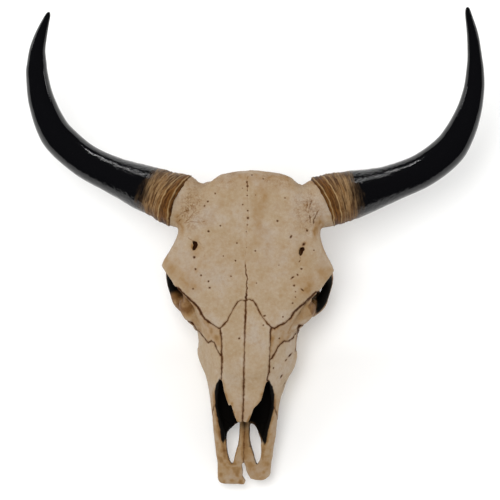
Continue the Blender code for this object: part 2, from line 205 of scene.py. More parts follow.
def trunk(mesh):
    rings = []
    for row in smoothRow(trunkRows, 3):
        y, crown, base = row[0], row[1], row[-1]
        half = [(row[k], y, row[k + 1]) for k in range(2, len(row) - 1, 2)]
        ring = [(0, y, crown), *half, (0, y, base), *mirrored(half[::-1], -1)]
        rings.append(smoothRow(ring, 3, closed=True))
    shell(mesh, rings)


def hornPedicle(mesh, side):
    path = [(52, 414, -36), (76, 418, -36), (96, 423, -37), (124, 430, -39)]
    sizes = [(27, 28), (30, 30), (37, 34), (38.2, 35.6)]
    if side == -1:  # the right one is a little stouter below
        path[2:], sizes[2:] = [(96, 420, -37), (124, 428, -39)], [(40, 35), (40, 36)]
    sweep(mesh, mirrored(path, side), sizes)


# The forms that both sides have, as on the left: eggs with their centre, radii and turn in degrees, and
# sweeps with their path, half the width and height at each point of it, and what else sweep is told.
pairedForms = {
    "occiput": {
        "eggs": (((27, 420, -148), (20, 19, 24), (20, 0, -15)), ((13, 398, -146), (11, 18, 9)),
                 ((84, 405, -112), (16, 19, 22)), ((18, 446, -94), (20, 12, 20))),
        "sweeps": ((((68, 448, -52), (73, 440, -78), (86, 424, -104)), ((8, 9), (9, 9), (10, 9))),
                   (((80, 404, -112), (70, 403, -140), (62, 401, -164)), ((18, 20), (15, 17), (10, 13)),
                    {"up": (0, 1, 0)})),
    },
    "skullBase": {
        "eggs": (((42, 376, -140), (13, 19, 17)),),
        "sweeps": ((((48, 356, -102), (72, 356, -100), (97, 360, -96)), ((17, 10), (17, 11), (13, 10))),
                   (((98, 352, -93), (96, 372, -96), (88, 394, -102)), ((8, 11), (8, 13), (12, 16)))),
    },
    "cheekBone": {"sweeps": ((
        ((64, 196, -78), (66, 216, -78), (70, 236, -79), (80, 250, -81), (94, 263, -83), (105, 275, -85)),
        ((7, 9), (10, 13), (12, 17), (12, 18), (12, 18), (11, 16))),)},
    "eyeSocketFront": {  # the wall of lacrimal bone before the eye
        "eggs": (((86, 269, -37), (12, 17, 12)), ((74, 238, -60), (10, 14, 22))),
        "sweeps": ((((66, 238, -54), (80, 249, -52), (89, 261, -50), (94, 272, -53)),
                    ((13, 22), (15, 24), (15, 23), (11, 19))),),
    },
    "eyeSocketFloor": {"eggs": (((86, 288, -92), (22, 26, 11), (0, 12, -16)),)},
    "cheekArch": {"sweeps": ((
        ((96, 258, -84), (109, 271, -88), (116, 288, -90), (119, 307, -91), (113, 332, -92), (104, 354, -93),
         (96, 376, -95)),
        ((9, 14), (9, 14), (7, 12), (6, 11), (6, 10), (6, 10), (6, 11))),)},
    "jugularProcess": {"sweeps": ((
        ((70, 403, -135), (62, 401, -160), (54, 398, -184), (50, 397, -200)),
        ((14, 17), (9.5, 15), (7.5, 12.5), (7, 11)), {"up": (0, 1, 0)}),)},
    "earTube": {"sweeps": ((((80, 393, -104), (97, 392, -109)), ((12, 12), (9, 9))),)},
    "palatePlates": {"sweeps": ((
        ((31, 212, -118), (28, 240, -122), (25, 268, -124), (22, 300, -118)),
        ((4.5, 18), (4, 26), (3.6, 28), (3.6, 18)), {"power": 3}),)},
    "nasalRoof": {"sweeps": ((
        ((12, 278, -8), (17, 255, -9), (19, 234, -9), (18.5, 200, -11), (17.5, 160, -14), (15.5, 140, -15.5),
         (12, 122, -17), (7.2, 106, -18), (5, 92, -20)),
        ((6, 7), (14, 8), (19, 8), (18.5, 8), (18, 6), (17, 5), (14, 4.6), (9.4, 4.4), (6.4, 3.6)),
        {"power": 3}),)},
    "toothSockets": {"sweeps": ((  # the rim of the upper jaw that holds the cheek teeth
        ((44, 120, -112), (47, 150, -118), (51.5, 185, -123), (55.5, 220, -127), (57, 250, -129)),
        ((5, 8), (7, 14), (10.5, 17), (13, 18), (12, 16)), {"power": 3}),)},
    "earOpening": {"sweeps": ((((80, 394, -104), (110, 392, -111)), ((4, 4), (4.5, 4.5))),)},
    "infraorbitalForamen": {"sweeps": ((
        ((50, 172, -72), (56, 148, -70), (66, 122, -66)), ((4, 4), (5, 5), (7, 6))),)},
}
middleForms = {
    # the bar between the two openings of the palate, which runs back into the nose
    "palatineBar": (((0, 28, -79), (0, 50, -76), (0, 72, -74), (0, 92, -76), (0, 112, -84)),
                    ((12, 7), (10, 8.5), (9, 8.5), (8, 8), (6, 7)), {"power": 2.6}),
    "foramenMagnum": (((0, 390, -116), (0, 428, -128), (0, 460, -138)), ((14, 12), (18, 16), (21, 19))),
    "choana": (((0, 236, -112), (0, 262, -116), (0, 312, -124)), ((13, 8), (17, 14), (17, 14)), {"power": 3}),
}


def addSweep(mesh, side, path, sizes, options=None):
    sweep(mesh, mirrored(path, side), sizes, **(options or {}))


def paired(name):
    def build(mesh, side):
        for centre, radii, *turn in pairedForms[name].get("eggs", ()):
            turnX, turnY, turnZ = turn[0] if turn else (0, 0, 0)
            egg(mesh, (side * centre[0], *centre[1:]), radii, (turnX, side * turnY, side * turnZ))
        for form in pairedForms[name].get("sweeps", ()):
            addSweep(mesh, side, *form)
    return build


def inMiddle(name):
    return lambda mesh: addSweep(mesh, 1, *middleForms[name])


# The ring round the eye socket

eyeSocket = {
    "centre": (107.5, 290, -54), "outward": (0.89, -0.28, 0.36), "rearward": (0.30, 0.954, 0),
    "long": 34, "high": 33.5, "thick": 4.4, "broad": 5.5, "rearBroad": 4,
}


def socketAxes(side):
    centre, outward, rearward = (Vector(eyeSocket[name]) for name in ("centre", "outward", "rearward"))
    for vector in (centre, outward, rearward):
        vector.x *= side
    outward, rearward = outward.normalized(), rearward.normalized()
    return centre, outward, rearward, outward.cross(rearward) * side


def eyeSocketRim(mesh, side):
    # thickest behind, where it is the bar between forehead and cheek
    centre, outward, rearward, upright = socketAxes(side)
    around, sides = 72, 28
    loops = []
    for i in range(around):
        turn = 2 * pi * i / around
        spoke = rearward * cos(turn) * eyeSocket["long"] + upright * sin(turn) * eyeSocket["high"]
        broad = eyeSocket["broad"] + eyeSocket["rearBroad"] * max(cos(turn), 0)
        ring = []
        for k in range(sides):
            angle = 2 * pi * k / sides
            ring.append(centre + spoke + spoke.normalized() * cos(angle) * broad
                        + outward * sin(angle) * eyeSocket["thick"])
        loops.append([mesh.verts.new(point) for point in ring])
    for near, far in zip(loops, loops[1:] + loops[:1]):
        for k in range(sides):
            j = (k + 1) % sides
            mesh.faces.new((near[k], near[j], far[j], far[k]))


# Hollows and holes

noseHollow = {
    "y": (238, 215, 185, 157, 135, 110, 86, 66, 50),
    "z": (-55, -56, -56, -56, -56, -58, -62, -69, -76),
    "halfWide": (14, 24, 32, 36, 41, 40, 34, 30, 25),
    "halfHigh": (25, 38, 40, 40, 38, 34, 28, 15, 5),
}


def nasalCavity(mesh):
    path = [(0, y, z) for y, z in zip(noseHollow["y"], noseHollow["z"])]
    sweep(mesh, path, list(zip(noseHollow["halfWide"], noseHollow["halfHigh"])), power=3)


def column(mesh, outline, low, high, rounding=0):
    # an upright block with the given outline
    if rounding:
        outline = [tuple(point[:2]) for point in smoothRow(outline, rounding, closed=True)]
    shell(mesh, [[(x, y, z) for x, y in outline] for z in (low, high)])


palatineFissures = {
    1: ((9.9, 85), (17.6, 80.7), (22.3, 70.1), (25.7, 60.6), (26.3, 38.1), (22.5, 26), (19.6, 24.4),
        (14.9, 39.2), (8.6, 59.2), (7.4, 80.8)),
    -1: ((9.2, 85.9), (19.2, 78.6), (25.6, 71), (27.2, 64.1), (25.8, 43.9), (21.5, 28.7), (17, 23.8),
         (13, 38.2), (8.6, 59.8), (7.8, 80.3)),
}
# the slit between the front teeth's places, and the right tip, which is worn shorter
muzzleTrim = ((-0.3, 27), (2.7, 20.8), (5, 11.6), (8.2, 5.8), (11.2, 0.9), (19.4, -0.6), (28.2, -1), (34, 1),
              (38.5, 5), (42, 11.2), (60, 20), (60, -30), (-6, -30), (-1, -11), (2.5, -7), (3.5, -3.1),
              (-1.1, 4), (-0.8, 11.4), (-2.3, 20.7))
nasalEdges = {  # the free edges of the nasal bones over the nose, with their notches
    1: ((33.6, 153), (30.4, 139), (26.7, 125.5), (20.4, 117.6), (15.4, 112.7), (12.4, 103), (9.2, 93.6),
        (4.6, 88), (0, 86)),
    -1: ((32.6, 153), (29.6, 139), (26.5, 128), (21.4, 115.6), (17.9, 118.4), (14.6, 107), (11.6, 99),
         (8.8, 93), (4.6, 88), (0, 86)),
}
browHoles = (  # outlines of the supraorbital foramina, and how deep they go
    (((-84.6, 363.4), (-81.4, 361.2), (-77.6, 360.6), (-76.2, 356.8), (-77.8, 352.8), (-80.6, 349.6),
      (-82.8, 348.2), (-82.2, 352), (-81, 355.6), (-82.2, 359.2)), -9),
    (((79.4, 356.7), (83.7, 357.8), (84.7, 354.4), (81.5, 349.1), (79.5, 344.7), (77.1, 349), (77.5, 354.1)),
     -10),
)


def palatineFissure(mesh, side):
    column(mesh, mirrored(palatineFissures[side], side), -140, -50, rounding=4)


def nasalTrim(mesh, side):
    block = list(nasalEdges[side]) + [(0, 80), (47, 80), (47, 128), (39, 141), (37, 153)]
    column(mesh, mirrored(block, side), -35, 20)


def browHole(mesh):
    for outline, depth in browHoles:
        column(mesh, outline, depth, 20)

# Objects, cuts and blends

@contextmanager
def editing(data):
    # a mesh opened for changes and written back
    mesh = bmesh.new()
    mesh.from_mesh(data)
    yield mesh
    mesh.to_mesh(data)
    mesh.free()


def newObject(name, data):
    obj = bpy.data.objects.new(name, data)
    bpy.context.scene.collection.objects.link(obj)
    return obj


def add(data, forms):
    # adds closed shells to a mesh
    with editing(data) as mesh:
        for form in forms:
            form(mesh)
        bmesh.ops.recalc_face_normals(mesh, faces=mesh.faces)


def make(name, forms):
    data = bpy.data.meshes.new(name)
    add(data, forms)
    return newObject(name, data)


def both(*forms):
    # the given forms, each by its name or its function, on both sides
    found = []
    for form in forms:
        build = paired(form) if isinstance(form, str) else form
        found += [partial(build, side=side) for side, _ in eachSide]
    return found


def modify(obj, kind, **settings):
    # puts what a modifier makes of the mesh in the mesh's place
    modifier = obj.modifiers.new(kind.lower(), kind)
    for name, value in settings.items():
        setattr(modifier, name, value)
    graph = bpy.context.evaluated_depsgraph_get()
    graph.update()
    done = bpy.data.meshes.new_from_object(obj.evaluated_get(graph))
    obj.modifiers.clear()
    old, obj.data = obj.data, done
    bpy.data.meshes.remove(old)


def blend(obj, voxel, smoothing):
    # unites overlapping shells and rounds off where they meet
    modify(obj, "REMESH", mode="VOXEL", voxel_size=voxel, use_smooth_shade=True)
    modify(obj, "SMOOTH", factor=0.5, iterations=smoothing)


def cut(obj, cutter, operation="DIFFERENCE"):
    modify(obj, "BOOLEAN", operation=operation, solver="MANIFOLD", object=cutter)


def cutAway(obj, forms):
    cutter = make("cutter", forms)
    cut(obj, cutter)
    bpy.data.objects.remove(cutter)


def triangles(obj):
    return sum(len(face.vertices) - 2 for face in obj.data.polygons)


def lighten(obj, most):
    # thins out an overly fine mesh, where it is flattest first
    if triangles(obj) > most:
        modify(obj, "DECIMATE", ratio=most / triangles(obj))


def readMesh(data, name="co"):
    values = np.empty(len(data.vertices) * 3, np.float32)
    data.vertices.foreach_get(name, values)
    return values.reshape(-1, 3).astype(float)


def writePlaces(data, places):
    data.vertices.foreach_set("co", places.astype(np.float32).ravel())
    data.update()


def writeField(data, name, values):
    layer = data.attributes.get(name) or data.attributes.new(name, "FLOAT", "POINT")
    layer.data.foreach_set("value", np.asarray(values, np.float32))


def readEdges(data):
    ends = np.empty(len(data.edges) * 2, np.int32)
    data.edges.foreach_get("vertices", ends)
    return ends.reshape(-1, 2)


def spread(values, ends, rounds):
    # evens out a value over the mesh, each round with the nearest neighbours
    count = len(values)
    near, far = ends[:, 0], ends[:, 1]
    links = np.bincount(near, minlength=count) + np.bincount(far, minlength=count)
    for _ in range(rounds):
        total = (np.bincount(near, weights=values[far], minlength=count)
                 + np.bincount(far, weights=values[near], minlength=count))
        values = 0.5 * values + 0.5 * total / np.maximum(links, 1)
    return values


def largestPiece(obj):
    # drops the crumbs that a cut leaves beside the bone
    ends = readEdges(obj.data)
    label = np.arange(len(obj.data.vertices))
    while True:
        low = np.minimum(label[ends[:, 0]], label[ends[:, 1]])
        new = label.copy()
        np.minimum.at(new, label[ends[:, 0]], low)
        np.minimum.at(new, label[ends[:, 1]], low)
        new = new[new]
        if (new == label).all():
            break
        label = new
    sizes = np.bincount(label)
    keep = label == sizes.argmax()
    if keep.all():
        return
    with editing(obj.data) as mesh:
        mesh.verts.ensure_lookup_table()
        gone = [mesh.verts[i] for i in np.nonzero(~keep)[0]]
        bmesh.ops.delete(mesh, geom=gone, context="VERTS")


# Fields: numbers at each point, from its place in millimetres

def lumps(place, size, seed):
    # smooth noise between -1 and 1, with lumps of the given size
    scaled = place / size + seed * 7.31
    cell = np.floor(scaled).astype(np.int64)
    part = scaled - cell
    part = part * part * (3 - 2 * part)
    total = np.zeros(len(place))
    for corner in range(8):
        step = np.array([corner & 1, corner >> 1 & 1, corner >> 2 & 1])
        # large primes make a number that looks random out of the corner's place
        key = (cell + step) @ np.array([374761393, 668265263, 2147483647])
        key = (key ^ (key >> 13)) * 1274126177 & 0xFFFFFFFF
        key = key ^ (key >> 16)
        weight = np.prod(np.where(step, part, 1 - part), axis=1)
        total += weight * ((key & 0xFFFF) / 32767.5 - 1)
    return total


def ramp(values, start, end):
    # 0 at start and 1 at end, with soft ends
    t = np.clip((values - start) / (end - start), 0, 1)
    return t * t * (3 - 2 * t)

def bell(values, middle, reach):
    # 1 at the middle, falling off on both sides over the reach
    return np.exp(-((values - middle) / reach) ** 2)


def spot(u, v, middle, reach):
    return bell(u, middle[0], reach[0]) * bell(v, middle[1], reach[1])


def fromLine(u, v, line):
    # distance from an open line of points
    place = np.stack([u, v], 1)
    nearest = np.full(len(place), 1e9)
    for a, b in zip(line, line[1:]):
        a, edge = np.array(a, float), np.array(b, float) - np.array(a, float)
        t = np.clip(((place - a) @ edge) / (edge @ edge), 0, 1)
        nearest = np.minimum(nearest, ((place - a - t[:, None] * edge) ** 2).sum(1))
    return np.sqrt(nearest)


def fromOutline(u, v, outline):
    # distance from a closed outline, negative inside
    ring = [*outline, outline[0]]
    inside = np.zeros(len(u), bool)
    for (a, b), (c, d) in zip(ring, ring[1:]):
        inside ^= ((b > v) != (d > v)) & (u < (c - a) * (v - b) / (d - b or 1e-9) + a)
    return np.where(inside, -1, 1) * fromLine(u, v, ring)


# Bones, in the order in which they are parted from the skull. An outline is x and y seen from above, or
# y and z from the side, and the suture strays from it by the given millimetres over a few centimetres.

def bone(name, outline, low, high, axis="Z", stray=0.4):
    return {"name": name, "outline": [tuple(point) for point in outline], "low": low, "high": high,
            "axis": axis, "stray": stray}


sutures = {
    "jag": 0.75,  # how far the teeth of a suture reach
    "jagSize": 4.0,
    "straySize": 30.0,
    "grooveDepth": 0.65,
    "grooveWidth": 1.3,
}

nasalSides = {
    1: ((0.15, 276), (5, 277), (10, 276.1), (14.7, 270.7), (22.5, 255.7), (33.2, 241.6), (39.5, 236.2),
        (38, 229), (38.5, 217), (38, 196.8), (37.7, 181.6), (37.6, 168.3), (35.2, 157), (38, 149), (38, 85),
        (0.15, 85)),
    -1: ((0.15, 275.4), (6, 275.4), (12, 273.9), (19.7, 259.5), (28.2, 243.1), (37.4, 233.4), (36.4, 226),
         (35.1, 220.6), (34.3, 204.5), (33.4, 184.4), (33.9, 169.1), (33.3, 156.7), (37, 149), (37, 85),
         (0.15, 85)),
}
lacrimalSides = {
    1: ((39.5, 235.8), (44.4, 234.8), (49.2, 239), (60, 243.7), (67.8, 251.6), (71.7, 259.3), (90, 277),
        (104, 291), (135, 291), (135, 240), (80, 240), (76.9, 229.4), (71.4, 220.4), (63.9, 214.7),
        (58.3, 215.5), (54.1, 211.4), (49.7, 206.8), (46.1, 199.7), (41.4, 189.6), (37, 186), (37, 230)),
    -1: ((36.6, 233), (40.6, 232.6), (50.6, 239.3), (61.2, 245.3), (66.4, 252.7), (71.7, 262.6), (90, 278),
         (104, 291), (135, 291), (135, 240), (82, 240), (77.1, 228.3), (65.5, 217.9), (56.1, 209.5),
         (51, 212.6), (46.6, 210.9), (43.2, 204), (39.4, 196.7), (35, 191), (34, 205), (34.6, 226)),
}
zygomaticOutline = ((77, 200), (79, 235), (80, 262), (82, 345), (150, 345), (150, 200))
maxillaOutline = ((0.15, -20), (0.15, 236), (38, 236), (42, 249), (72, 249), (76, 262), (110, 262),
                  (110, -20))
premaxillaSide = ((-20, -30), (132, -30), (60, -115), (-20, -115))
frontalSide = ((233, -42), (386, -42), (394, -76), (490, -76), (490, 20), (233, 20))

bones = []
for side, word in eachSide:
    bones += [
        bone("nasal_" + word, mirrored(nasalSides[side], side), -24, 20, stray=0.3),
        bone("lacrimal_" + word, mirrored(lacrimalSides[side], side), -56, 20, stray=0.3),
        bone("zygomatic_" + word, mirrored(zygomaticOutline, side), -106, -42, stray=2),
        bone("premaxilla_" + word, premaxillaSide, *sorted((side * 0.15, side * 100)), axis="X", stray=1),
    ]
bones.append(bone("frontal", frontalSide, -160, 160, axis="X", stray=2.4))
for side, word in eachSide:
    bones.append(bone("maxilla_" + word, mirrored(maxillaOutline, side), -210, 20, stray=1.6))


def wander(place, stray):
    # how far a suture strays from its outline at each point
    total = np.zeros_like(place)
    for axis in range(3):
        total[:, axis] = (sutures["jag"] * lumps(place, sutures["jagSize"], 31 + axis)
                          + 0.4 * sutures["jag"] * lumps(place, sutures["jagSize"] / 2, 37 + axis)
                          + stray * lumps(place, sutures["straySize"], 41 + axis))
    # at the muzzle's tip the midline leans to the left, into the slit
    total[:, 0] -= np.interp(place[:, 1], (-12, 0, 8, 20, 30), (7, 6, 3, 0.5, 0))
    return total


def fromBone(place, part):
    # distance from the block that a bone is cut with, negative inside it
    def plain(points):
        u, v, w = (points[:, i] for i in ((0, 1, 2) if part["axis"] == "Z" else (1, 2, 0)))
        ends = np.maximum(part["low"] - w, w - part["high"])
        return np.maximum(fromOutline(u, v, part["outline"]), ends)
    distance = plain(place)
    near = np.abs(distance) < 9 + 2 * part["stray"]
    distance[near] = plain(place[near] + wander(place[near], part["stray"]))
    return distance


def fromSuture(place):
    # distance from the nearest joint between two bones
    nearest = np.full(len(place), 30.0)
    free = np.arange(len(place))
    for part in bones:
        distance = fromBone(place[free], part)
        nearest[free] = np.minimum(nearest[free], np.abs(distance))
        free = free[distance >= 0]
    return nearest


def boneBlock(part):
    # the block that a bone is cut with, its faces moved to where the suture strays
    step = 3.6
    outline, low, high = part["outline"], part["low"], part["high"]
    rim = []
    for a, b in zip(outline, outline[1:] + outline[:1]):
        count = max(1, round(((a[0] - b[0]) ** 2 + (a[1] - b[1]) ** 2) ** 0.5 / step))
        rim += [(a[0] + (b[0] - a[0]) * k / count, a[1] + (b[1] - a[1]) * k / count) for k in range(count)]
    lowest, highest = np.min(outline, 0), np.max(outline, 0)
    u, v = np.meshgrid(*[np.arange(lowest[k] + step / 3, highest[k], step) for k in (0, 1)])
    u, v = (u + 0.5 * step * (np.arange(len(u)) % 2)[:, None]).ravel(), v.ravel()
    inside = fromOutline(u, v, outline) < -0.5 * step
    flat = [Vector(point) for point in rim + list(zip(u[inside], v[inside]))]
    flat, _, faces, *_ = delaunay_2d_cdt(flat, [], [list(range(len(rim)))], 1, 1e-5)
    levels = np.linspace(low, high, max(2, int((high - low) / step) + 1))
    count, around = len(flat), range(len(rim))
    points = [(a, b, h) for h in (low, high) for a, b in flat]
    points += [(a, b, h) for h in levels[1:-1] for a, b in rim]
    if part["axis"] == "X":
        points = [(h, a, b) for a, b, h in points]
    rings = [[i + start for i in around]
             for start in (0, *[2 * count + k * len(rim) for k in range(len(levels) - 2)], count)]
    walls = [(near[i - 1], near[i], far[i]) for near, far in zip(rings, rings[1:]) for i in around]
    walls += [(near[i - 1], far[i], far[i - 1]) for near, far in zip(rings, rings[1:]) for i in around]
    caps = [face[::-1] for face in faces] + [[i + count for i in face] for face in faces]
    data = bpy.data.meshes.new("block")
    data.from_pydata(points, [], walls + caps)
    add(data, [])
    wanted = readMesh(data)
    place = wanted.copy()
    for _ in range(6):  # until the moved face lies where the suture is
        place = wanted - wander(place, part["stray"])
    writePlaces(data, place)
    return newObject("block", data)


def sutureStrength(place):
    # 1 where a suture gapes and is dark, less where it has all but closed
    x, y, z = place.T
    wide = np.abs(x)
    strength = 0.9 + 0.25 * lumps(place, 16, 51) + 0.12 * lumps(place, 6, 52)
    strength += (0.2 + 0.3 * ramp(wide, 55, 80)) * (wide > 38) * ramp(y, 226, 234)  # under the brow
    nasalEnds = (wide > 3.5) * (wide < 1.02 * (278 - y) + 4)
    strength -= 0.3 * ramp(y, 236, 246) * nasalEnds
    strength -= 0.25 * bell(y, 200, 40) * (wide < 6)
    strength -= 0.6 * ramp(y, 92, 70) * (wide < 6)
    strength -= 0.2 * ramp(y, 150, 130) * (wide > 36)  # between maxilla and premaxilla
    strength -= 0.7 * spot(wide, y, (81, 238), (9, 11))  # where three sutures meet
    return np.clip(strength, 0.1, 1.5)


# The surface of the bone: small forms, too fine for the blend, that push it in and out

# x, y and radius of pores in the forehead and face, then how much longer than wide and its direction
pores = (
    (-77.6, 320.1, 1.5), (-68.7, 310.9, 1.4), (-57.1, 302.3, 1.5), (-55, 292.9, 1.6), (-80.2, 290.2, 1.4),
    (-59.6, 377.6, 1.7), (-42.1, 386.6, 1.3), (-17.5, 334.5, 1.3), (-23.7, 311, 1.2), (-16.2, 361.2, 1.2),
    (-62.1, 422.2, 1.5), (-66.7, 415.4, 1.2), (-3.1, 447.2, 1.7), (-4.4, 453.3, 1.4), (-0.9, 399.2, 1.9),
    (-1.7, 410.2, 1.4), (-9.2, 419.1, 1.1), (-51.4, 434.5, 1.2), (43.7, 396.1, 1.7),
    (64.5, 373.1, 1.5, 1.8, 60), (2.5, 464.1, 1.2), (53.6, 431.1, 1.0), (19.9, 459.2, 1.1),
    (11.8, 350.4, 1.2), (15.1, 301.9, 1.0), (82.1, 325.5, 1.3, 1.4, 0), (76.4, 316.6, 1.4, 1.3, -40),
    (69, 311.9, 1.2, 2.8, 40), (71.6, 300.1, 1.7), (84, 294.2, 1.1, 2.6, -38), (74.1, 291, 1.0),
    (70.1, 273.6, 1.2), (28.9, 253.3, 1.3, 1.6, 10), (56.2, 252.8, 1.1), (73.9, 282.9, 1.0),
    (99.7, 354.1, 1.0), (27.2, 239.4, 1.3), (-8.4, 218.1, 1.5), (51.5, 219.6, 1.1),
    (66.7, 193.7, 1.3, 3.4, 56), (55.9, 160.9, 1.3, 2.6, 62), (44.1, 174.3, 1.1, 1.8, 80),
    (61.5, 186.4, 0.9, 2.4, 60), (-2.9, 433, 0.9), (-1.2, 389, 1.1), (-2.8, 378.5, 0.8), (-1.4, 355, 0.7),
    (9.4, 434, 0.8), (-10.6, 443.8, 0.8), (48, 330, 0.8), (-36, 341, 0.8), (-80.4, 337.6, 1.9),
    (88.4, 383.2, 1.6, 1.5, 80), (84.2, 362.4, 1.9, 1.7, 52),
)
# fine lines beside the horns and by the brow's holes, and how strong each is
cracks = (
    (((105.8, 416.2), (101.7, 409.2), (98.5, 401.3), (97.9, 394.4)), 0.55),
    (((89.6, 410.5), (91.9, 402.8), (93.2, 395.1)), 0.55),
    (((85.2, 413.0), (87.5, 421.6), (86.5, 426.8)), 0.5),
    (((78.8, 426.5), (83.3, 421.5), (87.9, 410.5)), 0.4),
    (((94.2, 428.7), (91.3, 421.8), (89.6, 410.5)), 0.4),
    (((84.1, 394.8), (91.6, 401.1), (98.3, 408.2)), 0.3),
    (((-108.9, 396.5), (-103.9, 401.8), (-97.1, 405.5), (-90.3, 409.2)), 0.35),
    (((-106.9, 390.6), (-101.9, 395.0), (-99.5, 400.3)), 0.4),
    (((-87.1, 416.2), (-83.3, 405.9), (-89.9, 395.4), (-96.6, 388.3)), 0.3),
    (((-94.6, 409.0), (-91.8, 402.2), (-93.3, 395.3)), 0.3),
    (((-96.6, 388.3), (-86.3, 391.2), (-74.3, 390.4), (-65.7, 392.7)), 0.3),
    (((-73.1, 360.9), (-66.2, 352), (-65.0, 346), (-64.8, 339)), 0.25),
    (((-3.4, 462), (-4.6, 454), (-2.6, 446), (-3.1, 440)), 0.45),
    (((-2.6, 436), (-2.2, 424), (-0.8, 412), (-1, 401)), 0.2),
    (((-1.2, 396), (-2.2, 380), (-1.4, 362), (-2.6, 344)), 0.16),
    (((79.3, 343.1), (80.8, 340.4), (78.5, 336.2)), 0.6), (((-89.6, 366.6), (-84.6, 363.4)), 0.6),
)
midSuture = ((-3, 337), (-3, 327.3), (-1, 317.9), (1.1, 308.4), (0, 299.8), (1.5, 292.9), (0.1, 280),
             (-0.3, 274))
vesselGrooves = {  # in the forehead, from the brow's holes down
    1: ((84, 372), (81, 352), (79, 330), (72, 306)), -1: ((-80, 374), (-80, 356), (-77, 334), (-62, 304)),
}

surface = {
    "swellSize": 42, "swell": 0.9,
    "lumpSize": 15, "lump": 0.35,
    "grainSize": 6, "grain": 0.1,
    "poreSize": 2.4, "pore": 0.06,
    "wrinkle": 0.7,  # round the horns' roots
    "crease": 0.5,  # crow's feet beside the horns
    "knobs": 0.9,  # on the poll and the nape
    "ridge": 0.7,  # where the two frontals have grown together
    "vesselGroove": 1.3,
    "sutureLip": 0.25,
    "mark": 1.1,  # depth of pores and cracks
    "reliefDepth": 0.35,
}


# No skull is quite even: the side, how far along and over what reach, between which distances from the
# middle it grows, and the shift to the left there, all in millimetres.
unevenness = (
    (1, 378, 20, 70, 95, 1.7), (1, 168, 16, 45, 62, 3.8), (1, 241, 13, 66, 84, -4.4),
    (1, 15, 16, 20, 40, 1.0), (-1, 20, 24, 20, 40, 0.8),
)


def lean(place):
    x, y = place[:, 0], place[:, 1]
    shift = 5.0 * ramp(y, 428, 458) * ramp(np.abs(x), 100, 60)  # the poll
    for side, middle, reach, start, end, most in unevenness:
        shift += most * bell(y, middle, reach) * ramp(x * side, start, end)
    return shift


def strokes(place, facing):
    # marks on the upper side: how deep in pores, cracks and the midline suture each point is, from 0 to 1
    x, y, z = place.T
    depth = np.zeros(len(place))

    def within(line, margin, allowed):
        low, high = np.min(line, 0) - margin, np.max(line, 0) + margin
        return np.nonzero((x > low[0]) & (x < high[0]) & (y > low[1]) & (y < high[1]) & allowed)[0]

    def deepen(near, values):
        depth[near] = np.maximum(depth[near], values)

    for px, py, radius, *oblong in pores:
        near = within([(px, py)], 12, facing)
        stretch, angle = oblong or (1, 0)
        c, s = cos(radians(angle)), sin(radians(angle))
        dx, dy = x[near] - px, y[near] - py
        along, across = (dx * c + dy * s) / stretch, -dx * s + dy * c
        deepen(near, bell(np.hypot(along, across), 0, radius * (1 + 0.3 * lumps(place[near], 1.8, 5))))
    for line, strength in cracks:
        near = within(line, 4, facing)
        u, v = (values[near] + 0.8 * lumps(place[near], 3, seed) for values, seed in ((x, 6), (y, 7)))
        broken = strength * (1 + 0.8 * lumps(place[near], 4, 16))
        deepen(near, broken * bell(fromLine(u, v, line), 0, 0.8))
    near = within([(-12, 270), (12, 345)], 0, facing)
    jagged = x[near] + 1.2 * lumps(place[near], 3.4, 8) + 0.5 * lumps(place[near], 1.7, 9)
    strength = ramp(y[near], 340, 322) * (0.85 + 0.15 * lumps(place[near], 6, 10))
    width = 0.9 + 0.6 * ramp(y[near], 300, 276)
    deepen(near, strength * bell(fromLine(jagged, y[near], midSuture), 0, width))
    # inside the brow's holes the mark's colour is painted shade, weaker on the wall that slopes into the
    # light
    for outline, bottom in browHoles:
        middle = np.mean(outline, 0)
        near = within([middle], 14, z > bottom - 4)
        away = fromOutline(x[near], y[near], outline) + 0.4 * lumps(place[near], 2, 17)
        deeper = ramp(x[near] - middle[0], -3.0, 1.6)  # the wall on the right slopes and catches the light
        deepen(near, ramp(away, 0.9, -0.4) * (0.4 + 0.6 * deeper))
    return depth


def weather(data):
    # pushes the blended skull's surface in and out, and notes where its marks are
    place, normal = readMesh(data), readMesh(data, "normal")
    place[:, 0] += lean(place)
    x, y, z = place.T
    wide = np.abs(x)
    push = np.zeros(len(place))
    for seed, name in enumerate(("swell", "lump", "grain", "pore"), 1):
        push += surface[name] * lumps(place, surface[name + "Size"], seed)
    root = spot(wide, y, (94, 418), (15, 30))  # round the horns' roots
    wrinkled = 1 - 2 * np.abs(lumps(place * (1.6, 0.8, 1), 8, 11))
    push += surface["wrinkle"] * root * (wrinkled - 0.4 + 0.5 * lumps(place, 3.2, 12))
    creased = 1 - np.minimum(np.abs(lumps(place * (1.3, 0.9, 1), 7, 18)) / 0.16, 1)
    push -= surface["crease"] * ramp(root, 0.25, 0.8) * creased
    nape = ramp(y, 440, 458) * ramp(z, 4, -10)
    push += nape * (surface["knobs"] * lumps(place, 10, 13) + 0.4 * lumps(place, 4.5, 14))
    midline = bell(x, 1.2 * lumps(place * (0, 1, 0), 25, 15), 5)
    push += surface["ridge"] * midline * ramp(y, 335, 350) * ramp(z, -25, -5)
    for side, line in vesselGrooves.items():
        beside = (x * side > 30) & (x * side < 110) & (y > 285) & (y < 395)
        near = np.nonzero(beside & (normal[:, 2] > 0.5))[0]
        push[near] -= surface["vesselGroove"] * bell(fromLine(x[near], y[near], line), 0, 8)
    seam = fromSuture(place)
    push -= sutures["grooveDepth"] * sutureStrength(place) * bell(seam, 0, sutures["grooveWidth"])
    push += surface["sutureLip"] * bell(seam, 4, 2)
    marks = strokes(place, (normal[:, 2] > 0.15) & (z > -60))
    push -= surface["mark"] * marks
    hidden = ramp(np.abs(z - tableLevel(y)), 1, 4)  # the flats on the table stay flat
    writePlaces(data, place + normal * (push * hidden)[:, None])
    writeField(data, "pit", marks)
    report("surface")


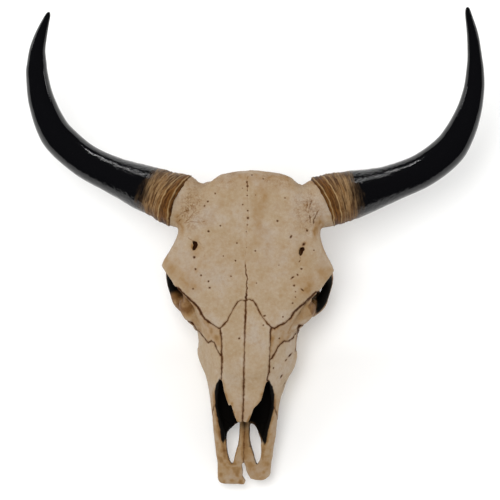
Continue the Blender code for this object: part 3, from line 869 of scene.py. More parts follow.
shadow = {
    "voxel": 4.2,  # of the coarse copy that it is worked out on
    "rays": 26, "reach": 85.0,
    "rayStart": 1.5, "outward": 3.0,  # above the surface: where rays start, and where values are looked up
    "goldenAngle": 2.399963,
}


def shade(data):
    # how much of the sky other bone hides from each point, from 0 to 1
    coarse = newObject("coarse", data.copy())
    blend(coarse, shadow["voxel"], 1)
    place, normal = readMesh(coarse.data), readMesh(coarse.data, "normal")
    tree = BVHTree.FromPolygons([Vector(p) for p in place], [tuple(f.vertices) for f in coarse.data.polygons])
    rays, reach = shadow["rays"], shadow["reach"]
    heights = (np.arange(rays) + 0.5) / rays
    turns = np.arange(rays) * shadow["goldenAngle"]
    slant = np.sqrt(heights)
    fan = np.stack([slant * np.cos(turns), slant * np.sin(turns), np.sqrt(1 - heights)], 1)
    helper = np.where(np.abs(normal[:, [2]]) < 0.9, (0, 0, 1.0), (1.0, 0, 0))
    sideways = np.cross(normal, helper)
    sideways /= np.linalg.norm(sideways, axis=1)[:, None]
    forward = np.cross(normal, sideways)
    dark = np.zeros(len(place))
    for i in range(len(place)):
        origin = Vector(place[i] + normal[i] * shadow["rayStart"])
        hidden = 0.0
        for direction in fan @ np.stack([sideways[i], forward[i], normal[i]]):
            hit = tree.ray_cast(origin, Vector(direction), reach)
            if hit[0] is not None:
                hidden += 1 - hit[3] / reach
        dark[i] = hidden / rays
    dark = spread(dark, readEdges(coarse.data), 1)
    finder = KDTree(len(place))
    for i, point in enumerate(place + normal * shadow["outward"]):
        finder.insert(point, i)
    finder.balance()
    fine = readMesh(data) + readMesh(data, "normal") * shadow["outward"]
    nearest = np.array([finder.find(point)[1] for point in fine])
    bpy.data.objects.remove(coarse)
    report("shade")
    return spread(dark[nearest], readEdges(data), 6)


def wear(data):
    # how far each point stands out from those round it, about -1 to 1: the bone is painted paler where it
    # stands out, a painted highlight, and darker where it sinks in, painted shade
    place, normal = readMesh(data), readMesh(data, "normal")
    ends = readEdges(data)
    even = np.stack([spread(place[:, axis], ends, 6) for axis in range(3)], 1)
    return np.clip(((place - even) * normal).sum(1) / surface["reliefDepth"], -1, 1)


noseBlack = {  # half the width of the near-black painted shade inside the nose, along y, as it shows between the edges
    "y": (40, 52, 60, 75, 90, 110, 134, 145, 157, 175),
    "halfWide": (29, 31, 34.6, 36.8, 40, 44.6, 45.6, 43.4, 37.4, 34),
}


def inSocket(place, side):
    # place in the eye socket: how far from its axis, 1 at the rim's middle, and how far out of its mouth
    centre, outward, rearward, upright = (np.array(vector) for vector in socketAxes(side))
    away = place - centre
    round1, round2 = away @ rearward / eyeSocket["long"], away @ upright / eyeSocket["high"]
    return np.sqrt(round1 ** 2 + round2 ** 2), away @ outward


def paintedCavityShade(place, hollow):
    # painted shade: the nose, the eye sockets and the skull's openings are painted near black inside, and so
    # is where other bone hides most of the sky
    x, y, z = place.T
    wide = np.abs(x)
    half = np.interp(y, noseBlack["y"], noseBlack["halfWide"])
    rough = 0.6 * lumps(place, 5, 21)
    belowRoof = z < -20 + 3 * lumps(place, 7, 22)
    inNose = ramp(wide, half + 0.5 + rough, half - 0.5 + rough) * (y < 240) * belowRoof
    start = np.interp(wide, (0, 5, 8, 16, 30, 36), (89, 89, 87, 83, 57, 48))
    inNose *= ramp(y, start - 3 + 2 * rough, start + 3 + 2 * rough)
    inEye = np.zeros(len(place))
    for side, _ in eachSide:
        away, out = inSocket(place, side)
        # the wall in front of the eye stays light on the left side, and brown on the right
        if side == 1:
            behind = np.maximum(ramp(x, 102, 106), ramp(y, 279, 287))
        else:
            behind = ramp(y + 0.3 * (wide - 100), 282, 291)
        found = ramp(away, 1.05, 0.97) * (out < 5.5) * (x * side > 40) * behind
        inEye = np.maximum(inEye, found)
    deep = ramp(hollow, 0.55, 0.74)
    under = 0.8 * spot(x, y, (0, 85), (6, 8)) * (z < -50)  # painted shade on the bar under the nasals' tips
    return np.clip(np.max((inNose, inEye, deep, under), 0), 0, 1)


# Stains: whether both sides have one, its middle and reach across and along, how strong it is on the right
# and on the left, how uneven, and between which heights it lies.
anyHeight = (-400, 400)
stains = (
    (True, (92, 414), (20, 30), 0.13, 0.13, 0.12, anyHeight),  # the horns' roots
    (True, (88, 300), (20, 26), 0.4, 0.3, 0.25, anyHeight),  # the brows
    (True, (118, 322), (16, 22), 0.36, 0.26, 0.24, (-40, 400)),  # their corners
    (True, (79, 352), (8, 14), 0.4, 0.4, 0, anyHeight),  # round the brow's holes
    (False, (-83.6, 354), (2.6, 5), 0.8, 0.8, 0, anyHeight),  # the right one's outer wall
    (True, (94, 267), (16, 18), 1.5, 0.4, 0, (-400, -14)),  # before the eyes, more on the right side
    (False, (0, 86), (6, 9), 1.1, 1.1, 0, (-400, -50)),  # painted shade under the nasals' tips
    (False, (-17, 23), (8, 4), 0.9, 0.9, 0, (-400, -60)),  # behind the right opening of the palate
)


def stainsAndShade(place, normal):
    # where the bone is tanned, from 0 to 1: dirt and age at edges, in grooves and round the openings, with
    # painted shade on the steep sides and under the nasals' tips
    x, y, z = place.T
    wide = np.abs(x)
    right = x < 0
    uneven = lumps(place, 14, 23)
    muzzle = (np.where(right, 0.3, 0.22) + 0.3 * lumps(place, 5, 25)) * ramp(y, 120, 90) * (z < -32)
    clouds = ramp(lumps(place, 14, 29), 0.0, 0.9) * (0.6 + 0.4 * lumps(place, 5, 30))
    notch = spot(wide, y, (107, 394), (7, 10)) + spot(wide, y, (101, 380), (4, 10))
    half = np.interp(y, noseBlack["y"], noseBlack["halfWide"])
    noseRim = ramp(y, 150, 120) * bell(wide, half, 4.5) * ramp(y, 10, 45) * (z < -32)
    found = [
        np.where(y < 240, 0.04, 0.28) * ramp(normal[:, 2], 0.75, 0.2),  # painted shade on the steep sides, which face away from the light above
        muzzle + np.where(right, 0.12, 0.06) * ramp(y, 55, 20),
        (0.3 + 0.2 * uneven) * ramp(y, 140, 100),
        0.09 * bell(y, 335, 45),
        (0.22 + 0.25 * lumps(place, 8, 26)) * ramp(y, 435, 462),  # the poll
        0.26 * clouds * ramp(y, 290, 350),  # on the forehead
        (0.32 + 0.2 * uneven) * bell(x, 16 + 8 * uneven, 9) * ramp(y, 355, 385) * ramp(y, 470, 440),
        (np.where(right, 0.9, 0.7) + 0.2 * uneven) * noseRim,
        0.7 * bell(x, 1, 8) * ramp(y, 20, 36) * (z < -55) * (y < 100),
        0.9 * bell(x, 0.5, 1.5 + 0.12 * np.clip(y - 50, 0, 40)) * ramp(y, 52, 76) * (z < -50) * (y < 100),
        (0.6 + 0.2 * lumps(place, 5, 27)) * notch * (z > -60),  # between brow and horn
    ]
    for side, _ in eachSide:
        beside = x * side > 0
        edge = fromLine(x * side, y, nasalEdges[side])
        found.append((0.45 + 0.3 * lumps(place, 6, 24)) * bell(edge, 0, 4) * (z > -32) * beside)
        oval = fromLine(x * side, y, palatineFissures[side] + palatineFissures[side][:1])
        found.append(np.where(right, 1.0, 0.6) * bell(oval, 0, 2.6) * (z < -55) * beside)
        away, out = inSocket(place, side)
        found.append(ramp(away, 1.22, 1.06) * (np.abs(out) < 14) * (x * side > 40) * (z < -24))
    for onBoth, middle, reach, rightShare, leftShare, ragged, (low, high) in stains:
        strength = np.where(right, rightShare, leftShare) + ragged * uneven
        found.append(strength * spot(wide if onBoth else x, y, middle, reach) * (z > low) * (z < high))
    return np.clip(np.max(found, 0), 0, 1)


def rootTexture(place):
    # where the bone is veined and rough: beside the horns and up to the poll
    x, y, z = place.T
    wide = np.abs(x)
    return np.maximum(spot(wide, y, (86, 414), (21, 36)), 0.6 * ramp(y, 430, 460) * ramp(wide, 8, 25))


def wholeSkull():
    body = make("skull", [trunk, *both(hornPedicle, "occiput", "skullBase", "cheekBone")])
    blend(body, skull["broadVoxel"], skull["broadSmoothing"])
    modify(body, "SUBSURF", levels=1, render_levels=1)
    cutAway(body, [nasalCavity])
    add(body.data, both(eyeSocketRim, "eyeSocketFront", "eyeSocketFloor", "cheekArch", "jugularProcess",
                        "earTube", "palatePlates", "nasalRoof", "toothSockets") + [inMiddle("palatineBar")])
    blend(body, skull["fineVoxel"], skull["fineSmoothing"])
    report("blend")
    cutAway(body, both(palatineFissure, "earOpening", "infraorbitalForamen")
            + [inMiddle("foramenMagnum"), inMiddle("choana")])
    cutAway(body, both(nasalTrim) + [lambda mesh: column(mesh, muzzleTrim, -140, -50), browHole])
    blend(body, skull["fineVoxel"], skull["edgeSmoothing"])
    report("holes")
    weather(body.data)
    far, behind = 400, 600  # well beyond the skull
    below = [(0, tableLevel(0)), (behind, tableLevel(behind)), (behind, -far), (0, -far)]
    cutAway(body, [lambda mesh: shell(mesh, [[(x, y, z) for y, z in below] for x in (-far, far)])])
    # fields for painted shade where other bone hides the sky, and for a painted highlight and painted shade
    # by how far the bone stands out
    writeField(body.data, "hollow", shade(body.data))
    writeField(body.data, "edge", wear(body.data))
    return body


def partBones(body):
    made = []
    for part in bones:
        block = boneBlock(part)
        piece = newObject(part["name"] + "_bone", body.data.copy())
        cut(piece, block, "INTERSECT")
        writePlaces(block.data, readMesh(block.data) + readMesh(block.data, "normal") * skull["jointGap"])
        cut(body, block)
        bpy.data.objects.remove(block)
        made.append((piece, part["name"]))
        report(part["name"])
    body.name = "braincase_bone"
    made.append((body, "braincase"))
    for piece, _ in made:
        largestPiece(piece)
        lighten(piece, skull["mostTriangles"])
    report("bones")
    return made


# Nodes

# the choice that a node's kind may be followed by
choices = {
    "Math": "operation", "VectorMath": "operation", "Mix": "data_type", "MapRange": "interpolation_type",
    "StoreNamedAttribute": "data_type", "InputNamedAttribute": "data_type",
}
plus, minus, times, plusTimes, distance, larger = (
    "Math " + name for name in ("ADD", "SUBTRACT", "MULTIPLY", "MULTIPLY_ADD", "ABSOLUTE", "MAXIMUM"))
soft = "MapRange SMOOTHSTEP"


def fromHex(colour):
    values = [int(colour[i:i + 2], 16) / 255 for i in (1, 3, 5)]
    return (*[v / 12.92 if v <= 0.04045 else ((v + 0.055) / 1.055) ** 2.4 for v in values], 1)


def addNode(tree, kind, *sources, **settings):
    # a node with its settings, and what feeds its sockets: in their order, or by name in a dictionary
    kind, _, choice = kind.partition(" ")
    family = next(word for word in ("GeometryNode", "ShaderNode", "Node") if hasattr(bpy.types, word + kind))
    node = tree.nodes.new(family + kind)
    if choice:
        settings[choices[kind]] = choice
    for name, value in settings.items():
        setattr(node, name, value)
    sockets = [socket for socket in node.inputs if socket.enabled]
    named = sources and isinstance(sources[0], dict)
    for key, source in sources[0].items() if named else enumerate(sources):
        socket = next(found for found in sockets if found.name == key) if named else sockets[key]
        if isinstance(source, bpy.types.Node):
            source = next(found for found in source.outputs if found.enabled)
        if isinstance(source, bpy.types.NodeSocket):
            tree.links.new(source, socket)
        elif isinstance(source, str) and source.startswith("#"):
            socket.default_value = fromHex(source)
        else:
            socket.default_value = source
    return node


def addLayers(node, look, colour, layers):
    # lays colours of the look over one another: what each follows, from where to where, and how much at most
    for source, start, end, most, name in layers:
        share = node("MapRange", source, start, end, 0, most)
        colour = node("Mix RGBA", share, colour, look[name])
    return colour


# Materials

def newMaterial(name):
    # a material, a way to add nodes to it, and object coordinates in millimetres
    material = bpy.data.materials.new(name)
    material.use_nodes = True
    material.node_tree.nodes.clear()
    node = partial(addNode, material.node_tree)
    coords = node("TexCoord").outputs["Object"]
    return material, node, node("Mapping", {"Vector": coords, "Scale": (1000, 1000, 1000)})


def readFields(node, *names):
    return [node("Attribute", attribute_name=name).outputs["Fac"] for name in names]


def finishMaterial(node, links):
    node("OutputMaterial", {"Surface": node("BsdfPrincipled", links)})


boneLook = {
    "pale": "#A6947E", "warm": "#9D886C", "grey": "#A19486", "tan": "#8F7049", "brown": "#68451F",
    # the browns #4E3117 and #130B05 are painted shade in hollows and creases, black is painted shade inside
    # the nose and eye sockets, and worn also paints a highlight where the bone stands out
    "dirt": "#4E3117", "deepDirt": "#130B05", "suture": "#3A1E0C", "sutureEdge": "#714B25",
    "pit": "#34190A", "worn": "#B8AA96", "black": "#0E0C0A",
    "noises": {  # millimetres, detail, roughness and distortion
        "blotch": (40, 3.0, 0.55, 0.0), "patch": (12, 4.0, 0.6, 0.0), "mottle": (4.5, 3.0, 0.6, 0.0),
        "speck": (1.6, 3.0, 0.7, 0.0), "grain": (0.8, 2.0, 0.6, 0.0), "wave": (7.5, 3.0, 0.5, 0.9),
        "smallWave": (4.0, 2.0, 0.5, 0.6),
    },
}


def dryBone():
    # Dry bone: dull, chalky and mottled beige, tanned where dirt has settled, with fine pores, painted shade
    # in its hollows, creases and openings, and a painted highlight where it stands out.
    material, node, mm = newMaterial("dryBone")
    look = boneLook
    names = ("seam", "pit", "hollow", "edge", "dark", "stainAndShade", "veined")
    field = dict(zip(names, readFields(node, *names)))
    for name, (size, detail, roughness, warp) in look["noises"].items():
        field[name] = node("TexNoise", {"Vector": mm, "Scale": 1 / size, "Detail": detail,
                                        "Roughness": roughness, "Distortion": warp})
    # fine veins run where two smooth waves cross their middle
    lines = []
    for name, width in (("wave", 0.05), ("smallWave", 0.045)):
        away = node(distance, node(minus, field[name], 0.5))
        lines.append(node("MapRange", away, 0.0, width, 1.0, 0.0))
    veins = node(larger, *lines)
    patchy = node(times, field["veined"], node("MapRange", field["patch"], 0.35, 0.6, 0.35, 1.0))
    field["vein"] = node(times, veins, patchy)
    field["aged"] = node(times, field["stainAndShade"], node("MapRange", field["patch"], 0.3, 0.65, 0.55, 1.25))
    # sutures: a dark line of changing width in a brown halo
    halo = node("MapRange", field["seam"], 3.0, 0.9)
    field["halo"] = node(times, halo, node("MapRange", field["patch"], 0.38, 0.62, 0.3, 1.0))
    wavy = node(plus, field["seam"], node("MapRange", field["patch"], 0.35, 0.65, 0.35, -0.35))
    field["line"] = node(plus, wavy, node("MapRange", field["speck"], 0.3, 0.7, -0.2, 0.2))

    colour = addLayers(node, look, fromHex(look["pale"]), [(field[name], *layer) for name, *layer in (
        ("blotch", 0.38, 0.64, 1, "warm"), ("blotch", 0.5, 0.3, 0.6, "grey"),
        ("patch", 0.5, 0.78, 0.45, "tan"), ("mottle", 0.52, 0.72, 0.35, "tan"),
        # the edge layer here paints the bone paler where it stands out: a painted highlight
        ("mottle", 0.48, 0.3, 0.22, "worn"), ("edge", 0.1, 0.8, 0.35, "worn"),
        # stains, with painted shade on the steep sides and under the nasals' tips
        ("aged", 0.02, 0.5, 1, "tan"), ("aged", 0.42, 1.0, 1, "brown"),
        # painted shade: darker, then near black, where other bone hides the sky
        ("hollow", 0.14, 0.5, 0.7, "dirt"), ("hollow", 0.42, 0.7, 0.95, "deepDirt"),
        # the edge layer here paints the bone darker where it sinks in: painted shade
        ("edge", -0.25, -0.9, 0.4, "dirt"), ("speck", 0.45, 0.75, 0.22, "tan"),
        ("vein", 0, 1, 0.85, "sutureEdge"), ("halo", 0, 1, 1, "sutureEdge"),
        ("pit", 0.04, 0.4, 0.5, "sutureEdge"), ("pit", 0.3, 0.8, 0.95, "pit"),
        # near black inside the nose and eye sockets: painted shade
        ("line", 1.4, 0.4, 0.88, "suture"), ("dark", 0, 1, 1, "black"))])
    dull = field["dark"]
    for name, start, end in (("seam", 1.6, 0.7), ("pit", 0.1, 0.5), ("hollow", 0.2, 0.6)):
        dull = node(larger, dull, node("MapRange", field[name], start, end))
    gloss = node("MapRange", dull, 0.0, 1.0, 0.3, 0.03)  # no gloss where sutures, pits and painted shade are
    height = node(plusTimes, field["vein"], -1.2, node(plus, field["grain"], field["speck"]))
    # bone's mineral has an index near 1.5, and its dryness keeps the gloss broad
    finishMaterial(node, {
        "Base Color": colour, "Specular IOR Level": gloss, "IOR": 1.5,
        "Normal": node("Bump", {"Height": height, "Strength": 0.45, "Distance": 0.00024}),
        "Roughness": node("MapRange", field["patch"], 0.3, 0.7, 0.52, 0.68)})
    return material


hornLook = {
    "black": "#0B0B0D", "brown": "#66421B", "cream": "#8D714E", "ring": "#301706", "lip": "#A1875F",
    "umber": "#2C1D10", "blackStart": 43, "blackEnd": 58,  # mm from the sheath's edge
}


def hornKeratin():
    # Horn: keratin grown in rings, matt brown and cream where it is young, polished black beyond.
    material, node, mm = newMaterial("hornKeratin")
    look = hornLook
    along, ring, lip = readFields(node, "along", "ring", "lip")
    blotch, dent, fine = (node("TexNoise", {"Vector": mm, "Scale": 1 / size, "Detail": 3.0})
                          for size in (26, 4.5, 1.4))
    # streaks that follow the growth rings: fast along the horn, slow round it
    drawn = node("VectorMath ADD", node("VectorMath SCALE", mm, 0.14), node("CombineXYZ", along))
    streak, line = (node("TexNoise", {"Vector": drawn, "Scale": 1 / size, "Detail": 3.0, "Roughness": 0.6})
                    for size in (4.5, 1.7))
    low = node("MapRange", node("SeparateXYZ", mm).outputs["Y"], 60, 32)  # the underside is browner
    place = along
    for noise, reach in ((blotch, 2.5), (streak, 4.5)):
        place = node(plus, place, node("MapRange", noise, 0.35, 0.65, -reach, reach))
    colour = addLayers(node, look, fromHex(look["brown"]), (
        (place, 6, 22, 1, "cream"), (low, 0, 1, 0.6, "brown"), (streak, 0.48, 0.62, 0.65, "brown"),
        (dent, 0.5, 0.66, 0.35, "brown"), (line, 0.48, 0.66, 0.75, "ring"), (ring, 0.1, 0.9, 0.6, "ring"),
        (lip, 0.1, 0.6, 0.75, "lip"), (place, 34, 50, 0.75, "umber"),
        (place, look["blackStart"], look["blackEnd"], 1, "black")))
    polish = node("MapRange", place, look["blackStart"] - 4, look["blackEnd"])
    # rough where it is young, knobbly in the first black part, then smooth
    height = node(times, node(plusTimes, line, 2.0, fine), node("MapRange", polish, 0.0, 1.0, 1.0, 0.06))
    height = node(plusTimes, dent, node("MapRange", along, 80.0, 200.0, 5.5, 0.4), height)
    # keratin's index is about 1.55
    finishMaterial(node, {
        "Base Color": colour, "IOR": 1.55,
        "Normal": node("Bump", {"Height": height, "Strength": 0.5, "Distance": 0.0003}),
        "Roughness": node("MapRange", polish, 0, 1, 0.5, 0.09),
        "Specular IOR Level": node("MapRange", polish, 0, 1, 0.12, 0.34)})
    return material


toothLook = {"enamel": "#D8C9A8", "tartar": "#5A4023", "dentine": "#A98A5C", "root": "#BBA27B"}


def toothEnamel():
    # Teeth: glossy cream enamel folded round duller, browner dentine, with dark tartar in the grooves.
    material, node, mm = newMaterial("toothEnamel")
    worn, groove = readFields(node, "wear", "groove")
    patch, fine = (node("TexNoise", {"Vector": mm, "Scale": 1 / size, "Detail": 4.0, "Roughness": 0.6})
                   for size in (6, 0.9))
    stained = node(times, groove, node("MapRange", patch, 0.35, 0.6, 0.5, 1.1))
    colour = addLayers(node, toothLook, fromHex(toothLook["enamel"]), (
        (patch, 0.4, 0.65, 0.6, "root"), (worn, 0.2, 0.8, 1, "dentine"),
        (stained, 0.25, 0.9, 0.95, "tartar")))
    # enamel's index is about 1.62
    finishMaterial(node, {
        "Base Color": colour, "IOR": 1.62,
        "Normal": node("Bump", {"Height": fine, "Strength": 0.3, "Distance": 0.0002}),
        "Roughness": node("MapRange", patch, 0.3, 0.7, 0.3, 0.45)})
    return material


# Horn sheaths

hornPath = ((80, 418, -38), (107, 426, -38), (134, 433.5, -41), (162.5, 441.5, -44), (188.5, 450.5, -48),
            (214.5, 460.5, -51), (255.5, 480, -54), (294, 510.5, -55), (312.5, 537.5, -54))
hornRadii = (39.5, 39.5, 38, 36, 31.8, 28.4, 26.5, 26, 23.6)
hornTips = {  # from there on the horns differ: place and radius
    1: ((326, 572, -51, 19.7), (332.6, 606, -46, 16), (333.4, 633, -41.3, 13.7), (331.6, 657, -36.3, 11),
        (327.4, 687, -29.4, 8.8), (320.6, 714, -22.4, 5.4), (318.4, 724, -19.3, 3.4),
        (317.8, 727.4, -18.4, 1.2)),
    -1: ((326, 572, -51, 20.4), (332.4, 606.5, -46, 17.3), (333, 625, -43, 15.5), (332.3, 645.5, -39, 12.6),
         (327, 666.5, -34, 9.9), (322, 682, -30.7, 7.3), (316, 698, -26.8, 4.2), (314.2, 702.8, -25.6, 1.4)),
}
# where the left sheath's edge crosses the horn's line, which way is ahead there in x and y, and how far the
# edge is moved on from there on each side
hornEdge = {"place": (107.0, 427.0), "ahead": (0.92, 0.39), "shift": {1: 9.2, -1: 5.4}}

horn = {
    "Sides": 112,
    "Step": 0.75,  # mm along the horn from one ring of points to the next
    "Band Length": 58.0,  # mm from the sheath's edge over which the growth rings show
    "Ring Spacing": 2.2,
    "Ring Depth": 0.6,
    "Fold Depth": 1.0,  # broad folds between the rings
    "Lip Height": 0.8,
    "Raggedness": 1.4,  # of the sheath's edge
    "Root": 4.0,  # mm of sheath that lie hidden in the bone
}


def newTree(name, inputs):
    # a geometry tree, a way to add nodes to it, and its inputs, which are given by name with kind and value
    tree = bpy.data.node_groups.new(name, "GeometryNodeTree")
    for label, (kind, value) in inputs.items():
        socket = tree.interface.new_socket(label, in_out="INPUT", socket_type="NodeSocket" + kind)
        if value is not None:
            socket.default_value = value
    tree.interface.new_socket("Geometry", in_out="OUTPUT", socket_type="NodeSocketGeometry")
    node = partial(addNode, tree)
    return tree, node, node("GroupInput").outputs


def hornTree():
    values = {**horn, "Edge Shift": 0.0, "Side": 1.0, "Seed": 1.0}
    numbers = {name: ("Int" if name == "Sides" else "Float", value) for name, value in values.items()}
    tree, node, given = newTree("hornSheath", {"Geometry": ("Geometry", None), **numbers,
                                               "Material": ("Material", None)})

    line = node("ResampleCurve", {"Curve": given["Geometry"], "Length": given["Step"]}, mode="LENGTH")
    length = node(minus, node("SplineParameter").outputs["Length"], given["Root"])
    noted = node("StoreNamedAttribute FLOAT", {"Geometry": line, "Name": "along", "Value": length})
    tangent = node("InputTangent")
    noted = node("StoreNamedAttribute FLOAT_VECTOR", {"Geometry": noted, "Name": "heading", "Value": tangent})
    section = node("CurvePrimitiveCircle", {"Resolution": given["Sides"], "Radius": 1.0})
    tube = node("CurveToMesh", {"Curve": noted, "Profile Curve": section, "Fill Caps": True,
                                "Scale": node("InputRadius")})
    along = node("InputNamedAttribute FLOAT", {"Name": "along"})
    heading = node("InputNamedAttribute FLOAT_VECTOR", {"Name": "heading"})
    place = node("InputPosition")
    seed = node("CombineXYZ", node(times, given["Seed"], 91.7))
    seeded = node("VectorMath ADD", place, seed)
    bumps = {}  # noise between -1 and 1, by its size in millimetres
    for size, detail in ((34, 2), (14, 2), (9, 3), (3, 3)):
        found = node("TexNoise", {"Vector": seeded, "Scale": 1 / size, "Detail": detail, "Roughness": 0.55})
        bumps[size] = node(plusTimes, found, 2.0, -1.0)

    # the sheath's edge bulges outward in the middle of the horn's upper side and draws back towards the poll
    x, y, _ = node("SeparateXYZ", place).outputs
    (edgeX, edgeY), (aheadX, aheadY) = hornEdge["place"], hornEdge["ahead"]
    sideways = node(times, node(minus, node(times, x, given["Side"]), edgeX), -aheadY)
    across = node(plusTimes, node(minus, y, edgeY), aheadX, sideways)
    middle = node(plus, across, 8.0)
    bulge = node(plusTimes, node(times, middle, middle), -0.0043, given["Edge Shift"])
    bulge = node(plusTimes, across, -0.117, bulge)  # the first ring isn't square to the edge
    ragged = node(plusTimes, bumps[3], 0.5, bumps[9])
    bulge = node(plusTimes, ragged, given["Raggedness"], bulge)
    slide = node(times, bulge, node(soft, along, 0.0, 60.0, 1.0, 0.0))
    moved = node("VectorMath SCALE", heading, slide)

    # growth rings: fast along the horn and slow round it, with broad folds and pale lips near the edge
    wavy = node(plusTimes, bumps[34], 2.4, node(plusTimes, bumps[9], 0.7, along))
    drawn = node("VectorMath ADD", node("VectorMath SCALE", seeded, 0.06), node("CombineXYZ", wavy))
    narrow = node("Math DIVIDE", 1.0, given["Ring Spacing"])
    rings = node("TexNoise", {"Vector": drawn, "Scale": narrow, "Detail": 1.0, "Roughness": 0.6})
    folds = node("TexNoise", {"Vector": drawn, "Scale": 0.1, "Detail": 1.0})
    groove = node(soft, rings, 0.46, 0.62)
    lips = []
    broken = node(plusTimes, bumps[9], 0.5, 0.75)
    for start, strength in ((0.8, 0.7), (12.5, 0.8), (20.0, 0.35)):
        off = node(distance, node(minus, node(plusTimes, bumps[14], 1.4, along), start))
        lips.append(node(times, node(soft, off, 1.4, 0.3, 0.0, strength), broken))
    lip = node(plus, node(plus, lips[0], lips[1]), lips[2])
    fade = node(soft, along, node(times, given["Band Length"], 0.5), given["Band Length"], 1.0, 0.0)
    rise = node(times, node(times, groove, given["Ring Depth"]), -1.0)
    folded = node(times, node(minus, folds, 0.5), node(times, given["Fold Depth"], 4.0))
    rise = node(times, node(plus, rise, folded), fade)
    rise = node(plusTimes, lip, given["Lip Height"], rise)
    rise = node(plusTimes, bumps[34], 0.5, rise)
    for size, start, end, most, least in ((9, 90.0, 230.0, 0.5, 0.05), (3, 0.0, 160.0, 0.2, 0.0)):
        share = node(soft, along, start, end, most, least)
        rise = node(plusTimes, bumps[size], share, rise)
    # the edge itself is thin: the sheath closes down into the bone
    rise = node(minus, rise, node(soft, along, 1.0, -3.0, 0.0, 5.0))
    out = node("VectorMath SCALE", node("InputNormal"), rise)
    offset = node("VectorMath ADD", out, moved)
    shaped = node("SetPosition", {"Geometry": tube, "Offset": offset})
    for name, value in (("ring", node(times, groove, fade)), ("lip", lip)):
        shaped = node("StoreNamedAttribute FLOAT", {"Geometry": shaped, "Name": name, "Value": value})
    smooth = node("SetShadeSmooth", {"Geometry": shaped, "Shade Smooth": True})
    real = node("RealizeInstances", {"Geometry": smooth})
    done = node("SetMaterial", {"Geometry": real, "Material": given["Material"]})
    node("GroupOutput", {"Geometry": done})
    return tree


def grown(source, tree, values, name):
    # the plain mesh that a node tree makes from the source object
    modifier = source.modifiers.new("nodes", "NODES")
    modifier.node_group = tree
    for item in tree.interface.items_tree:  # a modifier's inputs go by the socket's identifier
        if item.item_type == "SOCKET" and item.in_out == "INPUT" and item.name in values:
            modifier[item.identifier] = values[item.name]
    graph = bpy.context.evaluated_depsgraph_get()
    graph.update()
    data = bpy.data.meshes.new_from_object(source.evaluated_get(graph))
    bpy.data.objects.remove(source)
    data.materials.clear()
    data.materials.append(values["Material"])
    with editing(data) as mesh:
        bmesh.ops.remove_doubles(mesh, verts=mesh.verts, dist=0.01)
        bmesh.ops.recalc_face_normals(mesh, faces=mesh.faces)
    return newObject(name, data)


def hornSheath(side, word, tree, material):
    rows = [(*point, radius) for point, radius in zip(hornPath, hornRadii)]
    rows = smoothRow(rows + list(hornTips[side]), 8)
    # the sheath starts where the horn crosses its edge
    beyond = (rows[:, :2] - hornEdge["place"]) @ hornEdge["ahead"] + horn["Root"]
    first = np.argmax(beyond > 0)
    part = beyond[first] / (beyond[first] - beyond[first - 1])
    x = rows[:, 0].copy()
    if side == -1:  # the right horn is stouter below at its root
        stout = 3.2 * bell(x, 112, 22)
        rows[:, 3] += stout - 0.8 * bell(x, 148, 24)
        rows[:, 1] -= stout + 0.8 * bell(x, 148, 24)
    else:  # the left horn is a little stouter all round there, and swings wider
        rows[:, 3] += 1.4 * ramp(x, 190, 120)
        rows[:, 1] += 1.2 * ramp(x, 200, 140) - 2.3 * bell(x, 285, 50)
    rows = np.vstack([rows[first] * (1 - part) + rows[first - 1] * part, rows[first:]])
    curve = bpy.data.curves.new("hornLine", "CURVE")
    curve.dimensions = "3D"
    spline = curve.splines.new("POLY")
    spline.points.add(len(rows) - 1)
    for point, row in zip(spline.points, rows):
        point.co = (side * row[0], row[1], row[2], 1)
        point.radius = row[3] * 0.98
    values = {"Side": float(side), "Seed": 1.0 + side * 0.4, "Edge Shift": hornEdge["shift"][side],
              "Material": material}
    return grown(newObject("hornLine", curve), tree, values, "horn_" + word + "_sheath")


# Cheek teeth

cheekTeeth = {
    # from the rearmost: length along the row, width, and how many lobes, two for a molar and one for a
    # premolar
    "sizes": ((28, 25, 2), (27, 26, 2), (24, 25, 2), (19, 22, 1), (17, 19, 1), (15, 16, 1)),
    "rowRear": 246.0,
    "rearX": 57, "narrowing": 0.112,  # from the middle, and how the rows near each other towards the front
    "rearTop": -120, "topRise": 0.17,
    "offTable": 0.2, "frontRise": 0.03,  # the front teeth are worn less, and stand clear of the table
    "gap": 0.5,  # mm between neighbours, on each side
    "widthShare": 0.9,  # of its width that a crown has before its ribs are added
    "unevenness": 0.8,
    "ribDepth": 0.10,
    "ridgeDepth": 0.10,
    "sides": 72,
}


